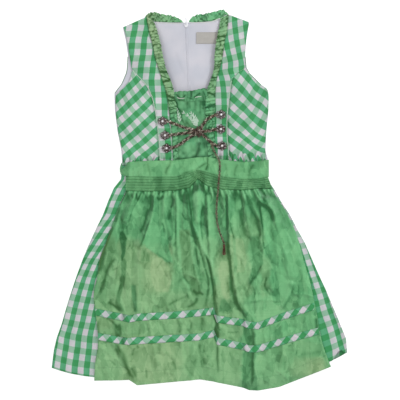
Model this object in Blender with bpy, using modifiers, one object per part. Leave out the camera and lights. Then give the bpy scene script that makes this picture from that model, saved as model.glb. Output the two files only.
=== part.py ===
"""Dirndl dress laid out flat on its back: gingham bodice and skirt, apron, frills, hooks, chain and zip.

Metres, +Z up. +X is the right-hand side seen from above, +Y points to the neck. The origin lies on the
surface under the middle of the dress. Sizes below are in millimetres and are turned into metres at the end.
"""
import math

import bmesh
import bpy
from mathutils import Vector

MM = 0.001

# ---- cloth and the gaps between pieces -------------------------------------------------------------
CLOTH = 1.2                # wall of the gingham and the apron
THIN_CLOTH = 1.0           # wall of the lining and the frills
FRONT_CLOTH = 1.5          # wall of the interlined bodice front
SEAM = 0.25                # sideways inset of an edge at a seam, so that two pieces stay 0.5 apart
REST_GAP = 0.3             # gap between a piece and what it lies on
LAYER_GAP = 0.5            # the same where the two pieces have unlike grids

# ---- heights ---------------------------------------------------------------------------------------
BAND_LIFT = 1.6            # how far the back is raised by the apron's back band
LINING_Z = CLOTH + REST_GAP
FRONT_Z = 3.0              # underside of the front at the side seams
BODICE_DOME = 5.0          # how far the front stands off the back in its middle
BODICE_RUN = 55.0          # distance from the side seam at which it does so
SKIRT_RUN = 45.0
SHOULDER_FLAT_Y = 445.0    # the front comes down to the back between these two heights
SHOULDER_FULL_Y = 370.0
WAIST_Y = 83.0
SKIRT_DROP = 500.0         # from the waist to the hem
BACK_GATHER = (1.6, 0.3)   # ridge height at the waist and at the hem
FRONT_GATHER = (3.0, 1.8)
FRONT_PUFF = (5.0, 1.5)    # how far the skirt's front stands off its back
HEM_CORNERS = (-404, -367) # height of the skirt's lower corners, left and right
HEM_SAG = 37.0             # how far the skirt's hem curves below the line between its corners
HEM_CURVES = (4, 6)        # power of that curve on the left and right: a higher one falls sooner
SKIRT_BACK_COLUMNS = 32     # two columns to a gather
SKIRT_FRONT_COLUMNS = 40
EDGE_GATHERS = 3            # gathers at each end of a gathered edge that fade out
APRON_GATHER = (4.2, 0.7)
APRON_GATHER_END_Y = -200   # the apron's gathers have fallen to their least by here
HEM_DROP = (12, 38)         # past the skirt's hem the apron sinks to the surface between these
FRILL_WAVE = (0.6, 3.4)    # wave height at a frill's seam and at its free edge
FRILL_DROOP = 1.2
FRILL_SWING = 0.8          # how far a ridge reaches past the frill's free edge
FRONT_FRILL_COLUMNS = 60
BACK_FRILL_COLUMNS = 16
INSERT_FRILL_COLUMNS = 16
WAIST_FRILL_WAVE = 0.6     # frills are pressed flat in the waist seam
BAND_CLEAR = 5.8           # waistband above the underside of the bodice front
BAND_CLOTH = 1.5
BAND_TURN = 8.0            # radius of the waistband's turn round the side
BAND_TURN_STEPS = 4
SHIRR_ROWS = 5
SHIRR_PUFF = 1.6
PUFF_CLOTH = 1.4

# ---- outline: half widths of the laid-out dress, from the shoulders to the hem ---------------------
# columns: y, x of the left edge, x of the right edge
OUTLINE = [
    (428, -186, 119), (388, -178.5, 112), (349, -173.5, 108.5), (318, -175, 111.5), (305, -177.5, 119),
    (278, -189, 146), (267, -198, 160), (256, -206, 164.5), (215, -205, 165), (167, -199, 160),
    (119, -189.5, 157.5), (99, -188, 163), (83, -187, 162), (50, -190, 161.5), (28, -207.5, 177),
    (-2, -220.5, 194), (-37, -234, 217), (-70, -250.5, 233.5), (-104, -266.5, 252.5), (-143, -283, 269.5),
    (-184, -298.5, 287), (-223, -311.5, 304.5), (-260, -323, 318), (-295, -333, 331), (-330, -345, 342),
    (-362, -352, 351.5), (-405, -357, 354),
]
# back's top edge, shoulder to shoulder. columns: x, y
BACK_TOP = [
    (-186, 416), (-127, 441), (-111, 429.5), (-75, 427.5), (-34, 427), (-14, 428), (10, 429),
    (30, 431), (50, 437), (61, 445.5), (71, 446), (119, 428),
]
CENTRE_BACK_X = (-33.4, -17.0)          # centre-back line at the neck and at the waist
BACK_ROWS = (400, 350, 300, 265, 230, 170, 117, 101, 83.5)

# front panels, one row a level. columns: armhole edge or princess seam, frill seam, frill's free edge
LEFT_FRONT = [
    ((-184, 416), (-128, 441), (-111, 429)), ((-177, 388), (-122, 407), (-103, 406)),
    ((-172, 359), (-114, 376), (-95, 376)), ((-167, 332), (-107, 343), (-88, 341)),
    ((-162, 312), (-99, 316), (-81, 313)), ((-143, 292), (-91, 292), (-71, 289)),
    ((-125, 269), (-83, 268), (-64, 266)), ((-115, 246), (-78, 244), (-60, 244)),
    ((-108, 217), (-74, 217), (-56, 217)), ((-104, 191), (-71, 191), (-55, 191)),
    ((-100, 157), (-67, 157), (-54, 157)), ((-97, 121), (-65, 121), (-53, 121)),
    ((-96, 83.5), (-63, 83.5), (-52, 83.5)),
]
RIGHT_FRONT = [
    ((118.6, 427.5), (68, 446), (50, 438)), ((112.5, 398), (65, 413), (45, 412)),
    ((109, 368), (58, 380), (39, 380)), ((108, 340), (53, 344), (35, 347)),
    ((108, 318), (47, 317), (34, 318)), ((89, 304), (40, 292), (27, 293)),
    ((76, 286), (37, 268), (18, 268)), ((72, 260), (36, 244), (15, 244)),
    ((68, 227), (36, 217), (13, 217)), ((65, 193), (35, 191), (15, 191)),
    ((65, 157), (34, 157), (17, 157)), ((68, 121), (36, 121), (19, 121)),
    ((72, 83.5), (37, 83.5), (21, 83.5)),
]
SIDE_ROW = 4                             # the princess seam starts at this row of the tables above
# side edge of the side fronts, from that row down
LEFT_SIDE = [(-164, 308), (-169, 289), (-184, 270), (-202, 252), (-203, 220), (-201, 192),
             (-196, 157), (-188, 121), (-186, 83.5)]
RIGHT_SIDE = [(111, 313), (127, 294), (144, 279), (163, 263), (165, 226), (162, 193),
              (159, 157), (157, 121), (161, 83.5)]
INSERT_ROW = 7                           # the insert starts at this row
INSERT_FRILL = (22.0, 7.0)               # how far its top frill stands above and hangs below its top edge

# back neck frills. columns: seam at the neck edge, free edge
LEFT_BACK_FRILL = [((-41, 428), (-44, 433)), ((-55, 428.3), (-57, 440)), ((-75, 428.3), (-75, 445)),
                   ((-95, 429.3), (-94, 448)), ((-110, 430.5), (-109, 452)), ((-123, 442), (-123, 450))]
RIGHT_BACK_FRILL = [((-27, 429), (-25, 434)), ((-14, 429.3), (-13, 444)), ((8, 430), (8, 448)),
                    ((29, 432.5), (29, 452)), ((49, 440.5), (52, 458)), ((61, 447), (60, 453))]

# waistband and shirred yoke. columns: x, top of the band, foot of the band, foot of the yoke
WAIST = [
    (-194, 78, 58, 22), (-175, 91, 56, 22), (-118, 94, 55, 21), (-57, 95, 55, 23), (-25, 100, 64, 30),
    (-5, 102, 72, 52), (17, 103, 66, 34), (53, 97, 55, 26), (102, 91, 49, 24), (139, 93, 50, 28),
    (166, 97, 56, 28),
]
BAND_X = (-193.6, 165.0)
YOKE_X = (-178, 163)
YOKE_BASE_X = (-178, 173)               # its lower edge
YOKE_COLUMNS = 28
BACK_BAND_Y = (56.0, 92.0)

APRON_TOP_Y = 25
APRON_HEM_Y = -432
# apron edges from the yoke to the hem, at equal steps of the fall. columns: left x, right x
APRON_SIDES = [(-177.5, 173), (-197, 202), (-211, 225), (-226, 240), (-241, 251.5), (-246.5, 264), (-255, 273),
               (-251.5, 281), (-246.5, 287), (-244.5, 297), (-251.5, 311), (-254, 325)]
# apron levels. columns: x, top of the upper trim, top of the lower trim, hem
APRON_FALL = [
    (-253, -260, -317, -434), (-190, -272, -329, -433), (-170, -277, -331, -432), (-151, -273, -329, -445),
    (-55, -267, -323, -436), (0, -262, -320, -431), (33, -258, -312, -436), (41, -277, -330, -438),
    (104, -286, -343, -452), (118, -292, -349, -458), (140, -293, -348, -459), (192, -273, -332, -450),
    (250, -254, -315, -426), (315, -232, -298, -400),
]
TRIM_WIDTH = 17.0
APRON_COLUMNS = 56
APRON_ROWS_ABOVE = 11                    # rows between the yoke and the upper trim
APRON_ROWS_BETWEEN = 2
APRON_ROWS_BELOW = 3

# largest folds of the apron. columns: x and y of the head, x and y of the foot, half width, height
APRON_FOLDS = [
    (-8, -70, 24, -430, 15, 6.5), (52, -60, 50, -430, 14, 5.5), (120, -240, 138, -450, 17, 5.0),
    (-86, -40, -190, -250, 20, 6.0), (-143, -40, -215, -170, 17, 4.5), (105, -40, 200, -240, 20, 6.0),
    (165, 0, 250, -170, 18, 5.0), (-55, -10, -40, -150, 13, 4.5), (-150, -265, -158, -440, 15, 4.0),
    (215, -240, 262, -400, 18, 4.0), (-110, -250, -95, -430, 16, 3.5),
]

# ---- hardware --------------------------------------------------------------------------------------
HOOK_PETALS = 6
HOOK_RADIUS = 10.6
HOOK_NOTCH = 8.2                         # radius between two petals
HOOK_HEIGHT = 5.4
HOOK_EYE = 12.5                          # reach of the eye on the side of the lacing
HOOKS = {"hook_left_1": (-90, 189), "hook_left_2": (-84, 155), "hook_left_3": (-80, 124),
         "hook_right_1": (51, 205), "hook_right_2": (50, 170), "hook_right_3": (53, 130)}
# hook profile, ring by ring. columns: share of the radius, share of the height
HOOK_RINGS = [(0.50, 0.0), (1.0, 0.0), (1.0, 0.28), (0.72, 0.46), (0.42, 0.40), (0.26, 0.92)]
KNOT = (-3.0, 164.0)
KNOT_SIZE = (19.0, 12.5, 4.2)
CHAIN = 5.0                              # width of the chain
EYE_GAP = 0.5                            # from a hook's eye to the chain
KNOT_GAP = 0.9                           # from a run's end to the crossing, along the run
LACE_POINTS = 9
# lacing runs to the crossing, in plan, each starting at the eye of the hook with the same ending
LACE = {
    "left_1": [(-66, 184), (-55, 180), (-43, 175.5), (-32, 172), (-24, 169.8)],
    "left_2": [(-60, 157), (-50, 158.5), (-40, 160), (-31, 161), (-23, 162)],
    "left_3": [(-57, 128.5), (-47, 134), (-38, 141), (-29, 148), (-20, 153.5)],
    "right_1": [(28, 199.5), (20, 195), (13, 188.5), (8.5, 182), (5, 177.5)],
    "right_2": [(30, 167.5), (26, 166.5), (22.5, 165.8), (17, 164.8)],
    "right_3": [(32, 133.5), (26.5, 138), (21, 143), (16.5, 147.5), (12, 152)],
}
TAIL_PLAN = [(28.6, 129.0), (33, 119.5), (39, 107), (45.5, 95), (47.5, 83), (47, 70), (46, 56), (44.5, 40),
             (43, 22), (41, 2), (39.5, -20), (39.5, -38), (41.5, -56), (46, -74), (52, -90), (57, -103)]
TAIL_POINTS = 30
END_CENTRE = (57.5, -117.7)
END_SIZE = (9.0, 29.0, 6.0)

# ---- zip -------------------------------------------------------------------------------------------
ZIP_X = -33.4
ZIP_AXIS_Y = 424.5
ZIP_CHAIN_WIDTH = 5.0
ZIP_CHAIN_Y = (413.5, -70.0)
SLIDER_Y = 421.8
SLIDER_SIZE = (9.6, 13.0, 1.4)
SLIDER_Z = 2.9                           # underside of the slider, just above the lining
ARCH_WIDTH = 2.0
ARCH_CLEAR = 1.8                         # room for the tab's crossbar
ARCH_REACH = 3.6
ARCH_THICK = 0.9
TAB_WIDTH = 5.0
TAB_REACH = 16.2
TAB_THICK = 1.0
TAB_WINDOW = (2.8, 4.3)
LABEL_X = (-9.0, 46.0)
LABEL_Y = (376.0, 404.0)
LABEL_CLOTH = 1.0


# ---- small helpers ---------------------------------------------------------------------------------
def mix(a, b, t):
    return a + (b - a) * t


def smooth(low, high, value):
    """0 below low, 1 above high, and a soft step between."""
    t = min(max((value - low) / (high - low), 0.0), 1.0)
    return t * t * (3.0 - 2.0 * t)


def ramp(low, high, value):
    return min(max((value - low) / (high - low), 0.0), 1.0)


def lookup(table, key, column):
    """Straight interpolation in a table whose first column is sorted either way."""
    rows = table if table[0][0] < table[-1][0] else table[::-1]
    if key <= rows[0][0]:
        return rows[0][column]
    for low, high in zip(rows, rows[1:]):
        if key <= high[0]:
            return mix(low[column], high[column], (key - low[0]) / (high[0] - low[0]))
    return rows[-1][column]


def along(points, t):
    """Smooth curve through points; t counts them from 0."""
    last = len(points) - 1
    k = min(int(t), last - 1)
    f = t - k
    before = points[max(k - 1, 0)]
    start = points[k]
    end = points[k + 1]
    after = points[min(k + 2, last)]
    return tuple(
        0.5 * (2 * b + (c - a) * f + (2 * a - 5 * b + 4 * c - d) * f * f + (3 * b - a - 3 * c + d) * f ** 3)
        for a, b, c, d in zip(before, start, end, after))


def column(table, index):
    return [row[index] for row in table]


def edge_fade(u, columns):
    """Fades the gathers out at both ends of a gathered edge."""
    return min(1.0, min(u, 1 - u) * columns / (2 * EDGE_GATHERS))


def wave(count, u, lean=0.0):
    """Gathers as a ridge of height 0 to 1, uneven from one to the next."""
    ridge = 0.5 - 0.5 * math.cos(2.0 * math.pi * count * u + lean)
    return ridge * (0.72 + 0.28 * math.sin(5.3 * u * count + 1.7) * math.cos(1.9 * u * count))


# ---- heights of the layers -------------------------------------------------------------------------
def inset(x, y):
    """Distance from the nearer side edge of the dress."""
    return min(x - lookup(OUTLINE, y, 1), lookup(OUTLINE, y, 2) - x)


def back_lift(y):
    return BAND_LIFT * ramp(34, 50, y) * ramp(117, 101, y)


def front_lift(y):
    return BAND_LIFT * ramp(-20, 34, y) * ramp(157, 121, y)


def bodice_z(x, y):
    """Underside of the bodice front."""
    rise = smooth(0, BODICE_RUN, inset(x, y)) * smooth(SHOULDER_FLAT_Y, SHOULDER_FULL_Y, y)
    return FRONT_Z + front_lift(y) + BODICE_DOME * rise


def fall(y):
    return (WAIST_Y - y) / SKIRT_DROP


def skirt_back_top(y):
    return front_lift(y) + mix(*BACK_GATHER, fall(y)) + CLOTH


def skirt_front_z(x, y, gather):
    """Underside of the skirt's front; gather runs from 0 in a furrow to 1 on a ridge."""
    rise = smooth(0, SKIRT_RUN, inset(x, y))
    stand = mix(*FRONT_PUFF, fall(y)) + mix(*FRONT_GATHER, fall(y)) * gather
    return skirt_back_top(y) + LAYER_GAP + rise * stand


def skirt_hem_y(x):
    left = OUTLINE[-1][1]
    right = OUTLINE[-1][2]
    u = min(max((x - left) / (right - left), 0.0), 1.0)
    curve = HEM_CURVES[1] if u > 0.5 else HEM_CURVES[0]
    return mix(*HEM_CORNERS, u) - HEM_SAG * (1 - abs(2 * u - 1) ** curve)


def fold_height(x, y):
    """Sum of the apron's largest folds at a place."""
    total = 0.0
    for x0, y0, x1, y1, half_width, height in APRON_FOLDS:
        dx = x1 - x0
        dy = y1 - y0
        length = math.hypot(dx, dy)
        t = ((x - x0) * dx + (y - y0) * dy) / length ** 2
        across = ((x - x0) * dy - (y - y0) * dx) / length
        ends = smooth(-0.12, 0.25, t) * smooth(1.2, 0.85, t)
        total += height * ends * math.exp(-(across / half_width) ** 2)
    return total


def apron_z(x, y):
    """Underside of the apron where it lies on the skirt, and beyond the skirt's hem."""
    on_skirt = skirt_front_z(x, y, 1.0) + CLOTH + LAYER_GAP
    return mix(on_skirt, REST_GAP, smooth(*HEM_DROP, skirt_hem_y(x) - y))


# ---- solids ----------------------------------------------------------------------------------------
def material(name, colour, roughness, metallic=0.0):
    made = bpy.data.materials.new(name)
    made.use_nodes = True
    shader = made.node_tree.nodes["Principled BSDF"]
    shader.inputs["Base Color"].default_value = (*colour, 1.0)
    shader.inputs["Roughness"].default_value = roughness
    shader.inputs["Metallic"].default_value = metallic
    return made


def add(name, data, finish):
    made = bpy.data.objects.new(name, data)
    dress.objects.link(made)
    data.materials.append(finish)
    return made


def to_mesh(name, bm, finish):
    bmesh.ops.recalc_face_normals(bm, faces=bm.faces[:])
    mesh = bpy.data.meshes.new(name)
    bm.to_mesh(mesh)
    bm.free()
    mesh.shade_smooth()
    mesh.set_sharp_from_angle(angle=math.radians(50))
    return add(name, mesh, finish)


def sheet(name, columns, rows, under, over, finish):
    """Closed wall of cloth: one grid, its lower points placed by under and its upper points by over.

    Both take the column and row as shares from 0 to 1, row 0 at the top.
    """
    bm = bmesh.new()
    bmesh.ops.create_grid(bm, x_segments=columns, y_segments=rows, size=1.0)
    bmesh.ops.triangulate(bm, faces=bm.faces[:], quad_method="FIXED")
    raised = bmesh.ops.extrude_face_region(bm, geom=bm.faces[:], use_keep_orig=True)["geom"]
    for vert in (item for item in raised if isinstance(item, bmesh.types.BMVert)):
        vert.co.z = 1.0
    for vert in bm.verts:
        place = over if vert.co.z > 0.5 else under
        vert.co = Vector(place((vert.co.x + 1) / 2, (1 - vert.co.y) / 2)) * MM
    return to_mesh(name, bm, finish)


def padded_by(under, thickness):
    def over(u, v):
        x, y, z = under(u, v)
        return x, y, z + thickness
    return over


def wall(name, columns, rows, under, thickness, finish):
    return sheet(name, columns, rows, under, padded_by(under, thickness), finish)


def tube(name, points, width, finish):
    curve = bpy.data.curves.new(name, "CURVE")
    curve.dimensions = "3D"
    curve.bevel_depth = width / 2 * MM
    curve.bevel_resolution = 2
    curve.use_fill_caps = True
    spline = curve.splines.new("POLY")
    spline.points.add(len(points) - 1)
    for spot, point in zip(spline.points, points):
        spot.co = (*(Vector(point) * MM), 1.0)
    return add(name, curve, finish)


# ---- bodice ----------------------------------------------------------------------------------------
def centre_back_x(y):
    return mix(*CENTRE_BACK_X, ramp(ZIP_AXIS_Y, WAIST_Y, y))


def back_point(side, height):
    """Point of a back panel: side is 1 for the left panel's outline column, 2 for the right's."""
    def under(u, v):
        y = BACK_ROWS[round(v * (len(BACK_ROWS) - 1))]
        level = y if v > 0 else OUTLINE[0][0]
        edge = lookup(OUTLINE, level, side)
        middle = centre_back_x(level) + (-SEAM if side == 1 else SEAM)
        x = mix(edge, middle, u) if side == 1 else mix(middle, edge, u)
        if v == 0:
            y = lookup(BACK_TOP, x, 1)
        return x, y, height + back_lift(y)
    return under


def bodice_back():
    rows = len(BACK_ROWS) - 1
    for side, name in ((1, "left"), (2, "right")):
        wall("back_bodice_" + name, 8, rows, back_point(side, 0.0), CLOTH, gingham)
        wall("back_lining_" + name, 8, rows, back_point(side, LINING_Z), THIN_CLOTH, lining)


def strip_point(left, right, rows, first=0):
    """Point of a front panel between two edges given by points, row by row."""
    def under(u, v):
        t = first + v * rows
        start = left(t)
        end = right(t)
        x = mix(start[0] + SEAM, end[0] - SEAM, u)
        y = mix(start[1], end[1], u)
        return x, y, bodice_z(x, y)
    return under


def edge(points, first=0):
    return lambda t: along(points, t - first)


def bodice_front():
    rows = len(LEFT_FRONT) - 1
    side_rows = rows - SIDE_ROW
    left_seam = edge(column(LEFT_FRONT, 0))
    left_frill = edge(column(LEFT_FRONT, 1))
    right_seam = edge(column(RIGHT_FRONT, 0))
    right_frill = edge(column(RIGHT_FRONT, 1))
    left_centre = strip_point(left_seam, left_frill, rows)
    right_centre = strip_point(right_frill, right_seam, rows)
    wall("centre_front_left", 3, 2 * rows, left_centre, FRONT_CLOTH, gingham)
    wall("centre_front_right", 3, 2 * rows, right_centre, FRONT_CLOTH, gingham)
    left_side = strip_point(edge(LEFT_SIDE, SIDE_ROW), left_seam, side_rows, SIDE_ROW)
    right_side = strip_point(right_seam, edge(RIGHT_SIDE, SIDE_ROW), side_rows, SIDE_ROW)
    wall("side_front_left", 4, 2 * side_rows, left_side, FRONT_CLOTH, gingham)
    wall("side_front_right", 4, 2 * side_rows, right_side, FRONT_CLOTH, gingham)


def insert_under(u, v):
    rows = len(LEFT_FRONT) - 1 - INSERT_ROW
    flat = strip_point(edge(column(LEFT_FRONT, 1)), edge(column(RIGHT_FRONT, 1)), rows, INSERT_ROW)
    x, y, z = flat(u, v)
    pucker = 1.0 * wave(5, u, 2.0 * v) * math.sin(math.pi * u) * (1 - v)
    return x, y, z - 0.3 + pucker


def insert_front():
    wall("insert", 10, 8, insert_under, CLOTH, taffeta)
    start = column(LEFT_FRONT, 2)[INSERT_ROW][0]
    end = column(RIGHT_FRONT, 2)[INSERT_ROW][0]
    top_y = column(LEFT_FRONT, 1)[INSERT_ROW][1]
    above, below = INSERT_FRILL

    def under(u, v):
        x = mix(start + 1.5, end - 1.5, u)
        y = mix(top_y + above, top_y - below, v) + 3.0 * math.sin(7.0 * u) * (1 - v)
        ridge = round(u * INSERT_FRILL_COLUMNS) % 2
        z = bodice_z(x, y) + CLOTH + LAYER_GAP + 0.8 + mix(2.6, 0.3, v) * ridge
        return x, y, z
    wall("insert_frill", INSERT_FRILL_COLUMNS, 3, under, THIN_CLOTH, taffeta)


def front_frill(name, table, side):
    """Gathered frill from the shoulder to the waist; side is -1 on the left and 1 on the right."""
    rows = len(table) - 1
    seam = edge(column(table, 1))
    free = edge(column(table, 2))

    def under(u, v):
        t = u * rows
        start = seam(t)
        end = free(t)
        spot = round(u * FRONT_FRILL_COLUMNS)
        ridge = (spot % 2) * (0.8 + 0.2 * math.sin(2.1 * spot))
        across = mix(-0.05, 1.0, v)
        x = mix(start[0], end[0], across) + FRILL_SWING * side * ridge * v
        y = mix(start[1], end[1], across)
        pressed = ramp(rows, rows - 1.2, t)
        height = mix(WAIST_FRILL_WAVE, mix(*FRILL_WAVE, v), pressed)
        droop = FRILL_DROOP * smooth(0.3, 1.0, v) * smooth(INSERT_ROW + 0.5, INSERT_ROW - 1.0, t)
        z = bodice_z(x, y) + FRONT_CLOTH + REST_GAP + height * ridge - droop
        return x, y, z
    wall(name, FRONT_FRILL_COLUMNS, 2, under, THIN_CLOTH, taffeta)


def back_frill(name, table):
    rows = len(table) - 1
    seam = edge(column(table, 0))
    free = edge(column(table, 1))

    def under(u, v):
        start = seam(u * rows)
        end = free(u * rows)
        ridge = (round(u * BACK_FRILL_COLUMNS) % 2) * min(1.0, 4.0 * u, 4.0 * (1 - u))
        x = mix(start[0], end[0], v)
        y = mix(start[1], end[1], v)
        return x, y, mix(*FRILL_WAVE, v) * 0.8 * ridge
    wall(name, BACK_FRILL_COLUMNS, 2, under, THIN_CLOTH, taffeta)


def frills():
    front_frill("neck_frill_left", LEFT_FRONT, -1)
    front_frill("neck_frill_right", RIGHT_FRONT, 1)
    back_frill("back_frill_left", LEFT_BACK_FRILL)
    back_frill("back_frill_right", RIGHT_BACK_FRILL)


# ---- skirt -----------------------------------------------------------------------------------------
SKIRT_ROWS = (82.7, 50, 34, -20, -80, -150, -230, -315, -405)


def skirt_xy(u, v):
    """Place on the skirt: gathers fan out from the waist to the hem."""
    y = SKIRT_ROWS[round(v * (len(SKIRT_ROWS) - 1))]
    x = mix(lookup(OUTLINE, y, 1), lookup(OUTLINE, y, 2), u)
    down = ramp(SKIRT_ROWS[3], SKIRT_ROWS[-1], y)
    return x, y + (skirt_hem_y(x) - SKIRT_ROWS[-1]) * down ** 2


def skirt():
    rows = len(SKIRT_ROWS) - 1

    def back(u, v):
        x, y = skirt_xy(u, v)
        ridge = (round(u * SKIRT_BACK_COLUMNS) % 2) * edge_fade(u, SKIRT_BACK_COLUMNS)
        return x, y, back_lift(y) + mix(*BACK_GATHER, fall(y)) * ridge

    def front(u, v):
        x, y = skirt_xy(u, v)
        return x, y, skirt_front_z(x, y, round(u * SKIRT_FRONT_COLUMNS) % 2)
    wall("skirt_back", SKIRT_BACK_COLUMNS, rows, back, CLOTH, gingham)
    wall("skirt_front", SKIRT_FRONT_COLUMNS, rows, front, CLOTH, gingham)


# ---- apron -----------------------------------------------------------------------------------------
def apron_levels():
    """Rows of the apron as (level, share): level 0 yoke, 1 upper trim, 2 lower trim, 3 hem."""
    rows = [(0, k / APRON_ROWS_ABOVE) for k in range(APRON_ROWS_ABOVE)]
    rows += [(1, 0.0)] + [(1.5, k / APRON_ROWS_BETWEEN) for k in range(APRON_ROWS_BETWEEN)]
    rows += [(2, 0.0)] + [(2.5, k / APRON_ROWS_BELOW) for k in range(APRON_ROWS_BELOW)]
    return rows + [(3, 0.0)]


APRON_LEVELS = apron_levels()


def apron_y(x, top_y, level, share):
    upper = lookup(APRON_FALL, x, 1)
    lower = lookup(APRON_FALL, x, 2)
    hem = lookup(APRON_FALL, x, 3)
    if level == 0:
        return mix(top_y, upper, share)
    if level == 1:
        return upper
    if level == 1.5:
        return mix(upper - TRIM_WIDTH, lower, share)
    if level == 2:
        return lower
    if level == 2.5:
        return mix(lower - TRIM_WIDTH, hem, share)
    return hem


def apron_gather(y):
    """Height of the apron's gathers, from the yoke down."""
    return mix(*APRON_GATHER, ramp(APRON_TOP_Y, APRON_GATHER_END_Y, y) ** 0.6)


def apron_under(u, row):
    """Point of the apron's underside at a column share and a row number."""
    level, share = APRON_LEVELS[row]
    top_x = mix(*YOKE_BASE_X, u)
    top_y = waist_line(top_x, 3) - REST_GAP
    guess = apron_y(mix(APRON_SIDES[-1][0], APRON_SIDES[-1][1], u), APRON_TOP_Y, level, share)
    down = ramp(APRON_TOP_Y, APRON_HEM_Y, guess) * (len(APRON_SIDES) - 1)
    left, right = along(APRON_SIDES, down)
    x = mix(left, right, u)
    y = apron_y(x if level else mix(top_x, x, min(1.0, share * 3)), top_y, level, share)
    edges = edge_fade(u, APRON_COLUMNS)
    spot = round(u * APRON_COLUMNS)
    ridge = (spot % 2) * (0.75 + 0.25 * math.sin(2.4 * spot)) * edges
    return x, y, apron_z(x, y) + apron_gather(y) * ridge + fold_height(x, y) * min(1.0, 0.35 + edges)


def apron_trim(name, first_row):
    def under(u, v):
        x, y, z = apron_under(u, first_row + round(v))
        return x, y, z + CLOTH + REST_GAP
    wall(name, APRON_COLUMNS, 1, under, 1.0, gingham)


def apron_skirt():
    rows = len(APRON_LEVELS) - 1
    wall("apron_skirt", APRON_COLUMNS, rows, lambda u, v: apron_under(u, round(v * rows)), CLOTH, taffeta)
    apron_trim("apron_trim_upper", APRON_ROWS_ABOVE)
    apron_trim("apron_trim_lower", APRON_ROWS_ABOVE + APRON_ROWS_BETWEEN + 1)


def band_under(x, y):
    return bodice_z(x, y) + BAND_CLEAR


def waist_line(x, index):
    """An edge at the waist, straight between the yoke's columns, so that its neighbours share it."""
    reach = YOKE_BASE_X if index == 3 else YOKE_X
    share = ramp(*reach, x) * YOKE_COLUMNS
    start = min(int(share + 0.0001), YOKE_COLUMNS - 1)
    ends = [lookup(WAIST, mix(*reach, k / YOKE_COLUMNS), index) for k in (start, start + 1)]
    return mix(*ends, share - start)


def apron_yoke():
    def under(u, v):
        top_x, base_x = mix(*YOKE_X, u), mix(*YOKE_BASE_X, u)
        x = mix(top_x, base_x, v)
        y = mix(lookup(WAIST, top_x, 2) - REST_GAP, lookup(WAIST, base_x, 3) + REST_GAP, v)
        return x, y, max(band_under(x, y), skirt_front_z(x, y, 1.0) + CLOTH + LAYER_GAP)

    def over(u, v):
        x, y, z = under(u, v)
        puff = SHIRR_PUFF * (round(v * 2 * SHIRR_ROWS) % 2)
        return x, y, z + PUFF_CLOTH + puff
    sheet("apron_yoke", YOKE_COLUMNS, 2 * SHIRR_ROWS, under, over, taffeta)


def band_stations():
    """Stations across the waistband: x, and how far it has risen from the surface."""
    low_x, high_x = BAND_X
    turns = []
    for k in range(BAND_TURN_STEPS + 1):
        angle = math.pi / 2 * k / BAND_TURN_STEPS
        turns.append((BAND_TURN * (1 - math.cos(angle)), math.sin(angle)))
    stations = [(low_x + reach, risen) for reach, risen in turns]
    level = [mix(*YOKE_X, k / YOKE_COLUMNS) for k in range(YOKE_COLUMNS + 1)]
    stations += [(x, 1.0) for x in level if low_x + BAND_TURN < x < high_x - BAND_TURN]
    return stations + [(high_x - reach, risen) for reach, risen in reversed(turns)]


def apron_band():
    """Waistband: it lies over the waist and turns down round both sides to the surface."""
    stations = band_stations()
    columns = len(stations) - 1
    low_x, high_x = BAND_X
    bm = bmesh.new()
    bmesh.ops.create_grid(bm, x_segments=columns, y_segments=3, size=1.0)
    for vert in bm.verts:
        x, risen = stations[round((vert.co.x + 1) / 2 * columns)]
        y = mix(lookup(WAIST, x, 1), lookup(WAIST, x, 2), (1 - vert.co.y) / 2)
        inner_x = min(max(x, low_x + BAND_TURN), high_x - BAND_TURN)
        vert.co = Vector((x, y, band_under(inner_x, y) * risen)) * MM
    mesh = bpy.data.meshes.new("apron_band")
    bm.to_mesh(mesh)
    bm.free()
    band = add("apron_band", mesh, taffeta)
    thick = band.modifiers.new("thickness", "SOLIDIFY")
    thick.thickness = BAND_CLOTH * MM
    thick.offset = 1.0
    thick.use_even_offset = True

    def back(u, v):
        return mix(low_x + REST_GAP, high_x - REST_GAP, u), mix(*BACK_BAND_Y, 1 - v), 0.0
    wall("apron_back_band", 1, 1, back, CLOTH, taffeta)


# ---- hardware --------------------------------------------------------------------------------------
def hooks():
    for name, (x0, y0) in HOOKS.items():
        inward = math.pi if x0 > 0 else 0.0
        base = rest_level(bodice_z, x0, y0, HOOK_EYE) + FRONT_CLOTH + REST_GAP
        bm = bmesh.new()
        rings = len(HOOK_RINGS)
        bmesh.ops.create_uvsphere(bm, u_segments=2 * HOOK_PETALS, v_segments=rings + 1, radius=1.0)
        for vert in bm.verts:
            polar = math.acos(max(-1.0, min(1.0, -vert.co.z)))
            ring = round(polar / math.pi * (rings + 1))
            if ring in (0, rings + 1):
                height = 0.0 if ring == 0 else 1.0
                vert.co = Vector((x0, y0, base + height * HOOK_HEIGHT)) * MM
                continue
            turn = math.atan2(vert.co.y, vert.co.x)
            share, height = HOOK_RINGS[ring - 1]
            notch = round(turn / (math.pi / HOOK_PETALS)) % 2
            radius = HOOK_NOTCH if notch else HOOK_RADIUS
            if math.cos(turn - inward) > 0.99 and share == 1.0:
                radius = HOOK_EYE
            if share < 0.5:
                radius = HOOK_RADIUS
            place = (x0 + radius * share * math.cos(turn), y0 + radius * share * math.sin(turn),
                     base + height * HOOK_HEIGHT)
            vert.co = Vector(place) * MM
        to_mesh(name, bm, pewter)


def front_top(x, y):
    """Highest level at a place on the bodice front: on a neck frill, the insert or a gingham panel."""
    for table in (LEFT_FRONT, RIGHT_FRONT):
        lane = [(row[1][1], row[1][0], row[2][0]) for row in table[INSERT_ROW:]]
        seam = lookup(lane, y, 1)
        across = (x - seam) / (lookup(lane, y, 2) - seam)
        if -0.1 < across < 1.1:
            wave_height = mix(*FRILL_WAVE, ramp(0, 1, across))
            return bodice_z(x, y) + FRONT_CLOTH + REST_GAP + wave_height + CLOTH
    return bodice_z(x, y) + FRONT_CLOTH + 0.4


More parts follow.
